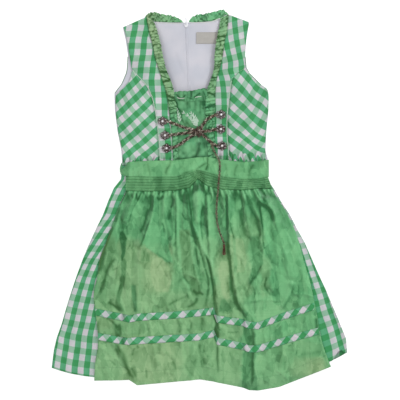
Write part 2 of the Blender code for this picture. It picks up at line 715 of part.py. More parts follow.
def rest_level(level_at, x, y, reach):
    """Level on which something of this reach rests at a place."""
    return max(level_at(x + dx, y + dy) for dx in (-reach, 0, reach) for dy in (-reach, 0, reach))


def at_crossing(x, y):
    """The point beside the crossing in the direction of (x, y)."""
    dx = (x - KNOT[0]) / (KNOT_SIZE[0] + KNOT_GAP)
    dy = (y - KNOT[1]) / (KNOT_SIZE[1] + KNOT_GAP)
    scale = math.hypot(dx, dy)
    return KNOT[0] + (x - KNOT[0]) / scale, KNOT[1] + (y - KNOT[1]) / scale


def lacing():
    for name, plan in LACE.items():
        hook_x, hook_y = HOOKS["hook_" + name]
        eye = HOOK_EYE + EYE_GAP
        start = (hook_x + (eye if hook_x < KNOT[0] else -eye), hook_y)
        route = [start] + plan[:-1] + [at_crossing(*plan[-1])]
        points = []
        for k in range(LACE_POINTS):
            x, y = along(route, k / (LACE_POINTS - 1) * (len(route) - 1))
            points.append((x, y, rest_level(front_top, x, y, CHAIN / 2) + REST_GAP + CHAIN / 2))
        tube("lace_" + name, points, CHAIN, pewter)
    bm = bmesh.new()
    bmesh.ops.create_uvsphere(bm, u_segments=12, v_segments=6, radius=1.0)
    base = bodice_z(*KNOT) + FRONT_CLOTH + REST_GAP + KNOT_SIZE[2]
    for vert in bm.verts:
        x = KNOT[0] + vert.co.x * KNOT_SIZE[0]
        y = KNOT[1] + vert.co.y * KNOT_SIZE[1]
        vert.co = Vector((x, y, base + vert.co.z * KNOT_SIZE[2])) * MM
    to_mesh("lace_crossing", bm, pewter)


def apron_top(x, y):
    """Level that a chain rests on, from the bodice over the waistband to the apron."""
    band_low = lookup(WAIST, x, 2)
    yoke_low = lookup(WAIST, x, 3)
    if y > lookup(WAIST, x, 1) + 1:
        return front_top(x, y)
    if y > band_low:
        return band_under(x, y) + BAND_CLOTH
    level = max(band_under(x, y), skirt_front_z(x, y, 1.0) + CLOTH + LAYER_GAP)
    yoke = level + PUFF_CLOTH + SHIRR_PUFF
    if y > yoke_low:
        return yoke
    return apron_z(x, y) + apron_gather(y) + fold_height(x, y) + CLOTH


def tail():
    last = len(TAIL_PLAN) - 1
    plan = [along(TAIL_PLAN, k / (TAIL_POINTS - 1) * last) for k in range(TAIL_POINTS)]
    levels = [rest_level(apron_top, x, y, CHAIN / 2) for x, y in plan]
    eased = [max(levels[max(k - 1, 0):k + 2]) for k in range(TAIL_POINTS)]
    points = [(x, y, z + REST_GAP + CHAIN / 2) for (x, y), z in zip(plan, eased)]
    tube("chain_tail", points, CHAIN, pewter)
    x0, y0 = END_CENTRE
    half_x, half_y, half_z = (size / 2 for size in END_SIZE)
    level = max(apron_top(x0, y0 + dy) for dy in (-6, -3, 0, 3, 6)) + REST_GAP
    bm = bmesh.new()
    bmesh.ops.create_uvsphere(bm, u_segments=10, v_segments=6, radius=1.0)
    for vert in bm.verts:
        place = (x0 + vert.co.x * half_x, y0 + vert.co.y * half_y, level + half_z * (1 + vert.co.z))
        vert.co = Vector(place) * MM
    to_mesh("chain_end", bm, pewter)


# ---- zip and label ---------------------------------------------------------------------------------
def box(name, size, centre, bevel, finish):
    bm = bmesh.new()
    bmesh.ops.create_cube(bm, size=1.0)
    for vert in bm.verts:
        vert.co = Vector([c + v * s for c, v, s in zip(centre, vert.co, size)]) * MM
    if bevel:
        bmesh.ops.bevel(bm, geom=bm.edges[:], offset=bevel * MM, segments=1, affect="EDGES")
    return to_mesh(name, bm, finish)


def cut_or_join(base, tool, operation):
    """Apply a Boolean with a mesh object that is then removed."""
    step = base.modifiers.new(operation, "BOOLEAN")
    step.operation = operation
    step.object = tool
    evaluated = base.evaluated_get(bpy.context.evaluated_depsgraph_get())
    mesh = bpy.data.meshes.new_from_object(evaluated)
    base.modifiers.clear()
    base.data = mesh
    bpy.data.objects.remove(tool)


def zip_parts():
    rows = (ZIP_CHAIN_Y[0], 117, 101, 50, 34, ZIP_CHAIN_Y[1])

    def under(u, v):
        y = rows[round(v * (len(rows) - 1))]
        x = centre_back_x(y) + ZIP_CHAIN_WIDTH * (u - 0.5)
        over_skirt = skirt_back_top(y) + REST_GAP if y < WAIST_Y + 20 else 0.0
        return x, y, max(LINING_Z + THIN_CLOTH + REST_GAP + back_lift(y), over_skirt)
    wall("zip_chain", 2, len(rows) - 1, under, CLOTH, white_plastic)

    width, length, thick = SLIDER_SIZE
    top = SLIDER_Z + thick
    slider = box("zip_slider", SLIDER_SIZE, (ZIP_X, SLIDER_Y, SLIDER_Z + thick / 2), 0.4, white_plastic)
    height = ARCH_CLEAR + ARCH_THICK
    arch = box("arch", (ARCH_WIDTH, 2 * ARCH_REACH, height + 0.4),
               (ZIP_X, ZIP_AXIS_Y, top + (height - 0.4) / 2), 0.0, white_plastic)
    room = box("room", (2 * ARCH_WIDTH, 2 * (ARCH_REACH - ARCH_THICK), ARCH_CLEAR),
               (ZIP_X, ZIP_AXIS_Y, top + ARCH_CLEAR / 2), 0.0, white_plastic)
    cut_or_join(arch, room, "DIFFERENCE")
    cut_or_join(slider, arch, "UNION")

    axis_z = top + ARCH_CLEAR / 2
    tab = box("zip_tab", (TAB_WIDTH, TAB_REACH + TAB_THICK / 2, TAB_THICK),
              (ZIP_X, ZIP_AXIS_Y + (TAB_REACH - TAB_THICK / 2) / 2, axis_z), 0.0, white_plastic)
    window = box("window", (TAB_WINDOW[0], TAB_WINDOW[1], 3 * TAB_THICK),
                 (ZIP_X, ZIP_AXIS_Y + TAB_THICK / 2 + TAB_WINDOW[1] / 2, axis_z), 0.0, white_plastic)
    cut_or_join(tab, window, "DIFFERENCE")
    to_axis = Vector((ZIP_X, ZIP_AXIS_Y, axis_z)) * MM
    for vert in tab.data.vertices:
        vert.co -= to_axis
    tab.location = to_axis


def label():
    def under(u, v):
        return mix(*LABEL_X, u), mix(*LABEL_Y, v), LINING_Z + THIN_CLOTH + REST_GAP
    wall("label", 2, 1, under, LABEL_CLOTH, label_cloth)


for old in list(bpy.data.objects):
    bpy.data.objects.remove(old)
dress = bpy.data.collections.new("dirndl_dress")
bpy.context.scene.collection.children.link(dress)

gingham = material("gingham", (0.28, 0.50, 0.33), 0.85)
lining = material("lining", (0.72, 0.72, 0.76), 0.8)
taffeta = material("taffeta", (0.16, 0.42, 0.20), 0.4)
pewter = material("pewter", (0.32, 0.29, 0.27), 0.35, 1.0)
white_plastic = material("white_plastic", (0.85, 0.85, 0.86), 0.4)
label_cloth = material("label_cloth", (0.62, 0.60, 0.56), 0.8)

bodice_back()
bodice_front()
insert_front()
frills()
skirt()
apron_skirt()
apron_yoke()
apron_band()
hooks()
lacing()
tail()
zip_parts()
label()
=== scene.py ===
"""Looks of the dirndl dress: cloth, frills, folds, lacing, zip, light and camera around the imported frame.

Sizes are in millimetres in the dress's own frame, X to the right, Y to the neck, Z up, and become metres
where a mesh is made. The tables of edges and levels repeat those of the solids, so every cloth lies where
its solid lies.
"""
import math
import random

import bmesh
import bpy
import numpy as np
from mathutils import Matrix, Vector


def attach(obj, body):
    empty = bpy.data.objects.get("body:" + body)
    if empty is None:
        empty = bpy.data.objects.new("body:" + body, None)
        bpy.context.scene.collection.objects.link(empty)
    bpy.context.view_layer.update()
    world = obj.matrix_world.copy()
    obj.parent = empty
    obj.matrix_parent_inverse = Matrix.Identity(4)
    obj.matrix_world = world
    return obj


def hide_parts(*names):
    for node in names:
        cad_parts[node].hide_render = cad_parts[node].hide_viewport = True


MM = 0.001
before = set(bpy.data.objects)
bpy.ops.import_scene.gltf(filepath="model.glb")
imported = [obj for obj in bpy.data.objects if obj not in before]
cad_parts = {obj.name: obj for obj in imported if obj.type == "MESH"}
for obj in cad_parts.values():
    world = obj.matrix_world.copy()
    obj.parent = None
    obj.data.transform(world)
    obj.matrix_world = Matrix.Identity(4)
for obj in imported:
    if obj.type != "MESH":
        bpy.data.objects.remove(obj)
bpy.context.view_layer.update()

# ---- camera: straight above, one pixel of the 400 is 2.4 mm ----------------------------------------
PICTURE = 960.0
PICTURE_Z = 10.0                         # level at which the picture is that wide
LENS = 85.0
SENSOR = 36.0
eye = bpy.data.cameras.new("camera")
eye.lens = LENS
eye.sensor_width = SENSOR
eye.dof.use_dof = False
camera = bpy.data.objects.new("camera", eye)
camera.location = (0.0, 0.0, PICTURE * MM * LENS / SENSOR + PICTURE_Z * MM)
bpy.context.scene.collection.objects.link(camera)
bpy.context.scene.camera = camera
bpy.context.scene.view_settings.view_transform = "Standard"

# ---- heights of the layers, as in the solids -------------------------------------------------------
CLOTH = 1.2
THIN_CLOTH = 1.0
FRONT_CLOTH = 1.5
SEAM = 0.25
REST_GAP = 0.3
LAYER_GAP = 0.5
BAND_LIFT = 1.6
LINING_Z = CLOTH + REST_GAP
FRONT_Z = 3.0
BODICE_DOME = 5.0
BODICE_RUN = 55.0
SKIRT_RUN = 45.0
SHOULDER_FLAT_Y = 445.0
SHOULDER_FULL_Y = 370.0
WAIST_Y = 83.0
SKIRT_DROP = 500.0
BACK_GATHER = (1.6, 0.3)
FRONT_GATHER = (3.0, 1.8)
FRONT_PUFF = (5.0, 1.5)
HEM_CORNERS = (-404, -367)
HEM_SAG = 37.0
HEM_CURVES = (4, 6)
HEM_DROP = (12, 38)
FRILL_WAVE = (0.6, 3.4)
FRILL_DROOP = 1.2
BAND_CLEAR = 5.8
BAND_TURN = 8.0
SHIRR_ROWS = 5
SHIRR_PUFF = 1.6

# ---- outline: y, left edge, right edge -------------------------------------------------------------
OUTLINE = [
    (428, -186, 119), (388, -178.5, 112), (349, -173.5, 108.5), (318, -175, 111.5), (305, -177.5, 119),
    (278, -189, 146), (267, -198, 160), (256, -206, 164.5), (215, -205, 165), (167, -199, 160),
    (119, -189.5, 157.5), (99, -188, 163), (83, -187, 162), (50, -190, 161.5), (28, -207.5, 177),
    (-2, -220.5, 194), (-37, -234, 217), (-70, -250.5, 233.5), (-104, -266.5, 252.5), (-143, -283, 269.5),
    (-184, -298.5, 287), (-223, -311.5, 304.5), (-260, -323, 318), (-295, -333, 331), (-330, -345, 342),
    (-362, -352, 351.5), (-405, -357, 354),
]
BACK_TOP = [
    (-186, 416), (-127, 441), (-111, 429.5), (-75, 427.5), (-34, 427), (-14, 428), (10, 429),
    (30, 431), (50, 437), (61, 445.5), (71, 446), (119, 428),
]
CENTRE_BACK_X = (-33.4, -17.0)
BACK_ROWS = (400, 350, 300, 265, 230, 170, 117, 101, 83.5)
# front panels, row by row: armhole edge or princess seam, frill seam, frill's free edge
LEFT_FRONT = [
    ((-184, 416), (-128, 441), (-111, 429)), ((-177, 388), (-122, 407), (-103, 406)),
    ((-172, 359), (-114, 376), (-95, 376)), ((-167, 332), (-107, 343), (-88, 341)),
    ((-162, 312), (-99, 316), (-81, 313)), ((-143, 292), (-91, 292), (-71, 289)),
    ((-125, 269), (-83, 268), (-64, 266)), ((-115, 246), (-78, 244), (-60, 244)),
    ((-108, 217), (-74, 217), (-56, 217)), ((-104, 191), (-71, 191), (-55, 191)),
    ((-100, 157), (-67, 157), (-54, 157)), ((-97, 121), (-65, 121), (-53, 121)),
    ((-96, 83.5), (-63, 83.5), (-52, 83.5)),
]
RIGHT_FRONT = [
    ((118.6, 427.5), (68, 446), (50, 438)), ((113, 398), (65, 413), (45, 412)),
    ((110, 368), (58, 380), (39, 380)), ((108.6, 340), (53, 344), (35, 347)),
    ((108, 318), (47, 317), (34, 318)), ((89, 304), (40, 292), (27, 293)),
    ((76, 286), (37, 268), (18, 268)), ((72, 260), (36, 244), (15, 244)),
    ((68, 227), (36, 217), (13, 217)), ((65, 193), (35, 191), (15, 191)),
    ((65, 157), (34, 157), (17, 157)), ((68, 121), (36, 121), (19, 121)),
    ((72, 83.5), (37, 83.5), (21, 83.5)),
]
SIDE_ROW = 4
LEFT_SIDE = [(-164, 308), (-169, 289), (-184, 270), (-202, 252), (-203, 220), (-201, 192),
             (-196, 157), (-188, 121), (-186, 83.5)]
RIGHT_SIDE = [(112, 313), (128, 294), (144, 279), (163, 263.5), (165, 226), (162, 193),
              (159, 157), (157, 121), (161, 83.5)]
INSERT_ROW = 7
LEFT_BACK_FRILL = [((-41, 428), (-44, 433)), ((-55, 428.3), (-57, 440)), ((-75, 428.3), (-75, 445)),
                   ((-95, 429.3), (-94, 448)), ((-110, 430.5), (-109, 452)), ((-123, 442), (-123, 450)),
                   ((-130, 434), (-133, 441))]
RIGHT_BACK_FRILL = [((-27, 429), (-25, 434)), ((-14, 429.3), (-13, 444)), ((8, 430), (8, 448)),
                    ((29, 432.5), (29, 452)), ((49, 440.5), (52, 458)), ((61, 447), (61, 454)),
                    ((66, 438), (71, 444))]
# waistband and shirred yoke: x, top of the band, foot of the band, foot of the yoke
WAIST = [
    (-194, 78, 58, 22), (-175, 91, 56, 22), (-118, 94, 55, 21), (-57, 95, 55, 23), (-25, 100, 64, 30),
    (-5, 102, 72, 52), (17, 103, 66, 34), (53, 97, 55, 26), (102, 91, 49, 24), (139, 93, 50, 28),
    (166, 97, 56, 28),
]
BAND_X = (-193.6, 165.0)
YOKE_X = (-178, 163)
YOKE_BASE_X = (-178, 173)
BACK_BAND_Y = (56.0, 92.0)
APRON_TOP_Y = 25
APRON_HEM_Y = -432
APRON_SIDES = [
    (-177.5, 173), (-197, 202), (-211, 225), (-226, 240), (-241, 251.5), (-246.5, 264), (-255, 273),
    (-251.5, 281), (-246.5, 287), (-244.5, 297), (-251.5, 311), (-254, 325),
]
APRON_SHARES = (0, 0.62, 0.75, 1)        # shares of the apron's length at the yoke, both trims and the hem
# apron levels: x, top of the upper trim, top of the lower trim, hem
APRON_FALL = [
    (-253, -260, -317, -434), (-190, -272, -329, -433), (-170, -277, -331, -432), (-151, -273, -329, -445),
    (-55, -267, -323, -436), (0, -262, -320, -431), (33, -258, -312, -436), (41, -277, -330, -438),
    (104, -286, -343, -452), (118, -292, -349, -458), (140, -293, -348, -459), (192, -273, -332, -450),
    (250, -254, -315, -426), (315, -232, -298, -400),
]
TRIM_WIDTH = 17.0

# ---- hardware, as in the solids --------------------------------------------------------------------
HOOK_EYE = 12.5
HOOKS = {"hook_left_1": (-90, 189), "hook_left_2": (-84, 155), "hook_left_3": (-80, 124),
         "hook_right_1": (51, 205), "hook_right_2": (50, 170), "hook_right_3": (53, 130)}
KNOT = (-3.0, 164.0)
CHAIN = 5.0
EYE_GAP = 0.5
LACE = {
    "left_1": [(-66, 184), (-55, 180), (-43, 175.5), (-32, 172), (-24, 169.8)],
    "left_2": [(-60, 157), (-50, 158.5), (-40, 160), (-31, 161), (-23, 162)],
    "left_3": [(-57, 128.5), (-47, 134), (-38, 141), (-29, 148), (-20, 153.5)],
    "right_1": [(28, 199.5), (20, 195), (13, 188.5), (8.5, 182), (5, 177.5)],
    "right_2": [(30, 167.5), (26, 166.5), (22.5, 165.8), (17, 164.8)],
    "right_3": [(32, 133.5), (26.5, 138), (21, 143), (16.5, 147.5), (12, 152)],
}
TAIL_PLAN = [(28.6, 129.0), (33, 119.5), (39, 107), (45.5, 95), (47.5, 83), (47, 70), (46, 56), (44.5, 40),
             (43, 22), (41, 2), (39.5, -20), (39.5, -38), (41.5, -56), (46, -74), (52, -90), (57, -103)]
TAIL_POINTS = 30
END_CENTRE = (57.5, -117.7)
END_SIZE = (9.0, 29.0, 6.0)
ZIP_X = -33.4
ZIP_AXIS_Y = 424.5
ZIP_CHAIN_Y = (413.5, -70.0)
SLIDER_Y = 421.8
SLIDER_Z = 2.9
SLIDER_THICK = 1.4
ARCH_CLEAR = 1.8
TAB_REACH = 16.2
LABEL_X = (-9.0, 46.0)
LABEL_Y = (376.0, 404.0)

# ---- gingham: white stripes lie at whole numbers of the cloth coordinates --------------------------
STRAP_REPEAT = (28.8, 26.0)              # left, right
LEFT_WARP = [(118, -90.6), (176, -93), (196, -99), (253, -100), (289, -102.6), (320, -99), (353, -93.5),
             (385, -90.6), (416, -83.4)]
RIGHT_WARP = [(119, 101), (176, 98.5), (253, 96), (292, 92), (311, 86), (330, 86), (349, 82.2),
              (388, 73.8), (426, 70.2)]
LEFT_WEFT = (414.0, 29.3)                # height of one white row, distance between rows
RIGHT_WEFT = (418.8, 30.5)
RIGHT_TILT = 0.28                        # rise of the right strap's rows, at the shoulder
UPRIGHT = [(0, 0.0), (1, 0.0)]           # the back's columns stand straight up
# heights at which the white stripes of the bias side fronts cross a line x = STRIPE_X, top to bottom
LEFT_STRIPES = (320, 276, 234.5, 194, 152, 116, 79, 39)
LEFT_STRIPE_X = -143.4
RIGHT_STRIPES = (322, 280, 238.5, 197, 163, 135, 102, 70)
RIGHT_STRIPE_X = 106.2
# rise of those stripes, high up and at the waist, on the left and on the right
STRIPE_SLOPE = ((1.0, 0.82), (1.0, 0.68))
# white cells along each stripe of the side fronts: stripe, x of one cell, spacing of the cells in x
LEFT_CELLS = [(0, -154, 15.5), (1, -154.5, 16), (2, -154, 16.6), (3, -151, 17.2), (4, -149.5, 19),
              (5, -151.5, 20), (7, -152, 21)]
RIGHT_CELLS = [(0, 95, 19), (1, 98.2, 19.8), (2, 102.9, 20.6), (3, 103.5, 22.6), (4, 110, 23.8),
               (5, 117.2, 24), (6, 126.7, 26), (7, 130, 27)]
# the skirt's columns: y, from the side edge to the third white column on the left or the first on the right,
# distance between columns
LEFT_SKIRT = [(60, 64, 25), (22, 62, 24), (-37, 59, 23.5), (-68, 53, 23.5), (-96, 47, 23), (-149, 35, 21.4),
              (-192, 32.5, 23.5), (-239, 34, 26), (-310, 38, 26.5), (-358, 41.5, 28.5), (-394, 41, 28.5)]
RIGHT_SKIRT = [(0, 3, 18), (-104, 6, 20), (-133, 8.5, 21), (-163, 11.5, 21.5), (-193, 14, 22), (-216, 17, 23),
               (-251, 19.5, 24.5), (-300, 21, 26), (-345, 22.6, 27.5), (-390, 24, 29)]
INNER_SPREAD = 1.45                      # how much wider the right columns are beyond the first
SKIRT_WEFT = (31.3, 12.0, 29.2, 18.0)    # left repeat and offset from the hem, right ones
# places of the white cells along the two trims
UPPER_WHITES = (-262, -225.5, -188, -156.6, -123.5, -81.7, -40.2, -0.6, 24, 41, 79.3, 111, 138.8, 173,
                209.6, 248, 286, 324)
LOWER_WHITES = (-266, -228, -196, -172, -128, -85, -43, -4, 32, 45, 80.5, 113.4, 150.6, 187.6, 227.4, 267,
                305, 343)
TRIM_REPEAT = 41.0
# how far the trims' second stripes are out of step with their first: x, upper trim, lower trim
TRIM_SHIFT = [
    (-262, 0.1, 0.35), (-188, 0.0, 0.2), (-160, 0.4, 0.45), (-123, 0.5, 0.5), (-82, 0.2, 0.35),
    (-40, 0.05, 0.1), (20, 0.3, 0.2), (41, 0.4, 0.3), (90, 0.25, 0.1), (140, 0.1, 0.0), (340, 0.0, 0.05),
]


# ---- numbers ---------------------------------------------------------------------------------------
def mix(a, b, t):
    return a + (b - a) * t


def bell(offset, width):
    """1 where the offset is 0, falling away over the width."""
    return np.exp(-np.square(offset / width))


def from_edge(share):
    """How far a share is from the nearer of 0 and 1."""
    return np.minimum(share, 1 - share)


def ramp(low, high, value):
    return np.clip((value - low) / (high - low), 0.0, 1.0)


def smooth(low, high, value):
    t = ramp(low, high, value)
    return t * t * (3.0 - 2.0 * t)


def lookup(table, key, column):
    rows = sorted(table)
    return np.interp(key, [row[0] for row in rows], [row[column] for row in rows])


def along(points, t):
    """Smooth curve through points; t counts them from 0. The last axis holds the coordinates."""
    points = np.asarray(points, float)
    t = np.asarray(t, float)
    last = len(points) - 1
    k = np.clip(np.floor(t).astype(int), 0, last - 1)
    f = (t - k)[..., None]
    a, b = points[np.maximum(k - 1, 0)], points[k]
    c, d = points[k + 1], points[np.minimum(k + 2, last)]
    bend = 2 * a - 5 * b + 4 * c - d
    turn = 3 * b - a - 3 * c + d
    return 0.5 * (2 * b + (c - a) * f + bend * f ** 2 + turn * f ** 3)


def column(table, index):
    return [row[index] for row in table]


LUMP_TABLE = 64                          # random values a side, repeated after that
LUMP_START = 500.0                       # keeps every place of the dress in the positive part of the table


def lumps(x, y, size, seed):
    """Soft noise from -1 to 1 with lumps of this size."""
    table = np.random.RandomState(seed).uniform(-1, 1, (LUMP_TABLE, LUMP_TABLE))
    gx = np.asarray(x) / size + LUMP_START
    gy = np.asarray(y) / size + LUMP_START
    ix = np.floor(gx).astype(int)
    iy = np.floor(gy).astype(int)
    fx = gx - ix
    fy = gy - iy
    fx = fx * fx * (3 - 2 * fx)
    fy = fy * fy * (3 - 2 * fy)

    def corner(i, j):
        return table[(ix + i) % LUMP_TABLE, (iy + j) % LUMP_TABLE]
    return mix(mix(corner(0, 0), corner(1, 0), fx), mix(corner(0, 1), corner(1, 1), fx), fy)


# ---- heights ---------------------------------------------------------------------------------------
def inset(x, y):
    return np.minimum(x - lookup(OUTLINE, y, 1), lookup(OUTLINE, y, 2) - x)


def back_lift(y):
    """Rise of the back where the band's end lies under it."""
    return BAND_LIFT * ramp(34, 50, y) * ramp(117, 101, y)


def front_lift(y):
    return BAND_LIFT * ramp(-20, 34, y) * ramp(157, 121, y)


def bodice_z(x, y):
    rise = smooth(0, BODICE_RUN, inset(x, y)) * smooth(SHOULDER_FLAT_Y, SHOULDER_FULL_Y, y)
    return FRONT_Z + front_lift(y) + BODICE_DOME * rise


def relief(x, y):
    """Soft unevenness shared by everything on the bodice front, 0 to 0.8."""
    return 0.4 + 0.25 * lumps(x, y, 38, 3) + 0.15 * lumps(x, y, 17, 4)


def fall(y):
    return (WAIST_Y - y) / SKIRT_DROP


def skirt_back_top(y):
    return front_lift(y) + mix(*BACK_GATHER, fall(y)) + CLOTH


def skirt_front_z(x, y, gather):
    """Underside of the skirt's front. gather is 0 between the gathers and 1 on them."""
    rise = smooth(0, SKIRT_RUN, inset(x, y))
    stand = mix(*FRONT_PUFF, fall(y)) + mix(*FRONT_GATHER, fall(y)) * gather
    return skirt_back_top(y) + LAYER_GAP + rise * stand


def skirt_hem_y(x):
    left = OUTLINE[-1][1]
    right = OUTLINE[-1][2]
    u = ramp(left, right, x)
    curve = np.where(u > 0.5, HEM_CURVES[1], HEM_CURVES[0])
    return mix(*HEM_CORNERS, u) - HEM_SAG * (1 - np.abs(2 * u - 1) ** curve)


def apron_z(x, y):
    on_skirt = skirt_front_z(x, y, 1.0) + CLOTH + LAYER_GAP
    return mix(on_skirt, REST_GAP, smooth(*HEM_DROP, skirt_hem_y(x) - y))


def band_under(x, y):
    return bodice_z(x, y) + BAND_CLEAR


# ---- meshes ----------------------------------------------------------------------------------------
def new_object(name, mesh, finish, body="dress"):
    made = bpy.data.objects.new(name, mesh)
    bpy.context.scene.collection.objects.link(made)
    mesh.materials.append(finish)
    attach(made, body)
    return made


def cloth(name, columns, rows, place, thick, finish, slot, **channels):
    """Closed wall of cloth over a grid. place turns shares u, v into x, y and the underside's z.

    u runs from left to right and v from top to bottom. A channel is a function of u, v, x, y that gives
    one number a point, or for pattern the two cloth coordinates.
    """
    bm = bmesh.new()
    bmesh.ops.create_grid(bm, x_segments=columns, y_segments=rows, size=1.0)
    mesh = bpy.data.meshes.new(name)
    bm.to_mesh(mesh)
    bm.free()
    count = len(mesh.vertices)
    flat = np.empty(count * 3)
    mesh.vertices.foreach_get("co", flat)
    flat = flat.reshape(-1, 3)
    u = (flat[:, 0] + 1) / 2
    v = (1 - flat[:, 1]) / 2
    x, y, z = place(u, v)
    mesh.vertices.foreach_set("co", (np.stack([x, y, z], axis=1) * MM).ravel())
    for key, channel in channels.items():
        value = channel(u, v, x, y)
        if key == "pattern":
            layer = mesh.attributes.new("cloth", "FLOAT_VECTOR", "POINT")
            layer.data.foreach_set("vector", np.stack([*value, np.zeros(count)], axis=1).ravel())
        else:
            layer = mesh.attributes.new(key, "FLOAT", "POINT")
            layer.data.foreach_set("value", np.asarray(value, float) + np.zeros(count))
    mesh.update()
    if sum(face.normal.z for face in mesh.polygons) < 0:
        mesh.flip_normals()
    mesh.shade_smooth()
    made = new_object(name, mesh, finish)
    wall = made.modifiers.new("thickness", "SOLIDIFY")
    wall.thickness = thick * MM
    wall.offset = 1.0
    return made


def solid(name, bm, finish, body="dress", angle=40):
    mesh = bpy.data.meshes.new(name)
    bmesh.ops.recalc_face_normals(bm, faces=bm.faces[:])
    bm.to_mesh(mesh)
    bm.free()
    mesh.shade_smooth()
    mesh.set_sharp_from_angle(angle=math.radians(angle))
    return new_object(name, mesh, finish, body)


def loop_surface(bm, rings, closed=True, caps=False):
    """Skin over rings of points. closed joins the last ring to the first; caps closes the two ends."""
    made = [[bm.verts.new(point) for point in ring] for ring in rings]
    pairs = list(zip(made, made[1:])) + ([(made[-1], made[0])] if closed else [])
    for first, second in pairs:
        size = len(first)
        for k in range(size):
            bm.faces.new((first[k], first[(k + 1) % size], second[(k + 1) % size], second[k]))
    if caps:
        bm.faces.new(made[0])
        bm.faces.new(made[-1])


def circle(count):
    """Angles evenly round a circle."""
    return [2 * math.pi * k / count for k in range(count)]


def ring(bm, centre, ahead, up, long_radius, short_radius, wire, around=12, section=6):
    """Oval wire ring. ahead is the way of its long radius and up its axis."""
    ahead = Vector(ahead).normalized()
    axis = (Vector(up) - Vector(up).project(ahead)).normalized()
    side = axis.cross(ahead)
    rings = []
    for turn in circle(around):
        spoke = ahead * math.cos(turn) + side * math.sin(turn)
        middle = Vector(centre) + ahead * (long_radius * math.cos(turn))
        middle = middle + side * (short_radius * math.sin(turn))
        rings.append([(middle + spoke * (wire * math.cos(a)) + axis * (wire * math.sin(a))) * MM
                      for a in circle(section)])
    loop_surface(bm, rings)


def ball(bm, centre, size, turn=0.0, detail=2):
    """Ellipsoid with these half sizes, turned about Z."""
    place = Matrix.Translation(Vector(centre) * MM) @ Matrix.Rotation(turn, 4, "Z")
    scale = Matrix.Diagonal((*(Vector(size) * MM), 1.0))
    bmesh.ops.create_icosphere(bm, subdivisions=detail, radius=1.0, matrix=place @ scale)


def thread(bm, points, radius, section=6, taper=False):
    """Round line through points, closed at both ends."""
    rings = []
    last = len(points) - 1
    for k, point in enumerate(points):
        ahead = (Vector(points[min(k + 1, last)]) - Vector(points[max(k - 1, 0)])).normalized()
        side = ahead.cross(Vector((0, 0, 1)))
        side = side.normalized() if side.length > 1e-6 else Vector((1, 0, 0))
        up = side.cross(ahead)
        size = radius * (math.sin(math.pi * (k + 0.6) / (last + 1.2)) ** 0.5 if taper else 1.0)
        rings.append([(Vector(point) + side * (size * math.cos(a)) + up * (size * math.sin(a))) * MM
                      for a in circle(section)])
    loop_surface(bm, rings, closed=False, caps=True)


def stitches(bm, points, pitch, radius, length=0.6):
    """Dashes of thread along a line of points, each lying on it."""
    points = [Vector(point) for point in points]
    run = 0.0
    for start, end in zip(points, points[1:]):
        span = (end - start).length
        while run < span:
            middle = start.lerp(end, run / span)
            ahead = (end - start).normalized() * (pitch * length / 2)
            dash = [middle - ahead, middle - ahead * 0.5, middle + ahead * 0.5, middle + ahead]
            thread(bm, dash, radius, 5, True)
            run += pitch
        run -= span


# ---- materials -------------------------------------------------------------------------------------
def linear(*shade):
    """8-bit display colour to the linear colour that nodes take."""
    return tuple(mix(c / 12.92, ((c + 0.055) / 1.055) ** 2.4, float(c > 0.04045))
                 for c in (part / 255 for part in shade)) + (1.0,)


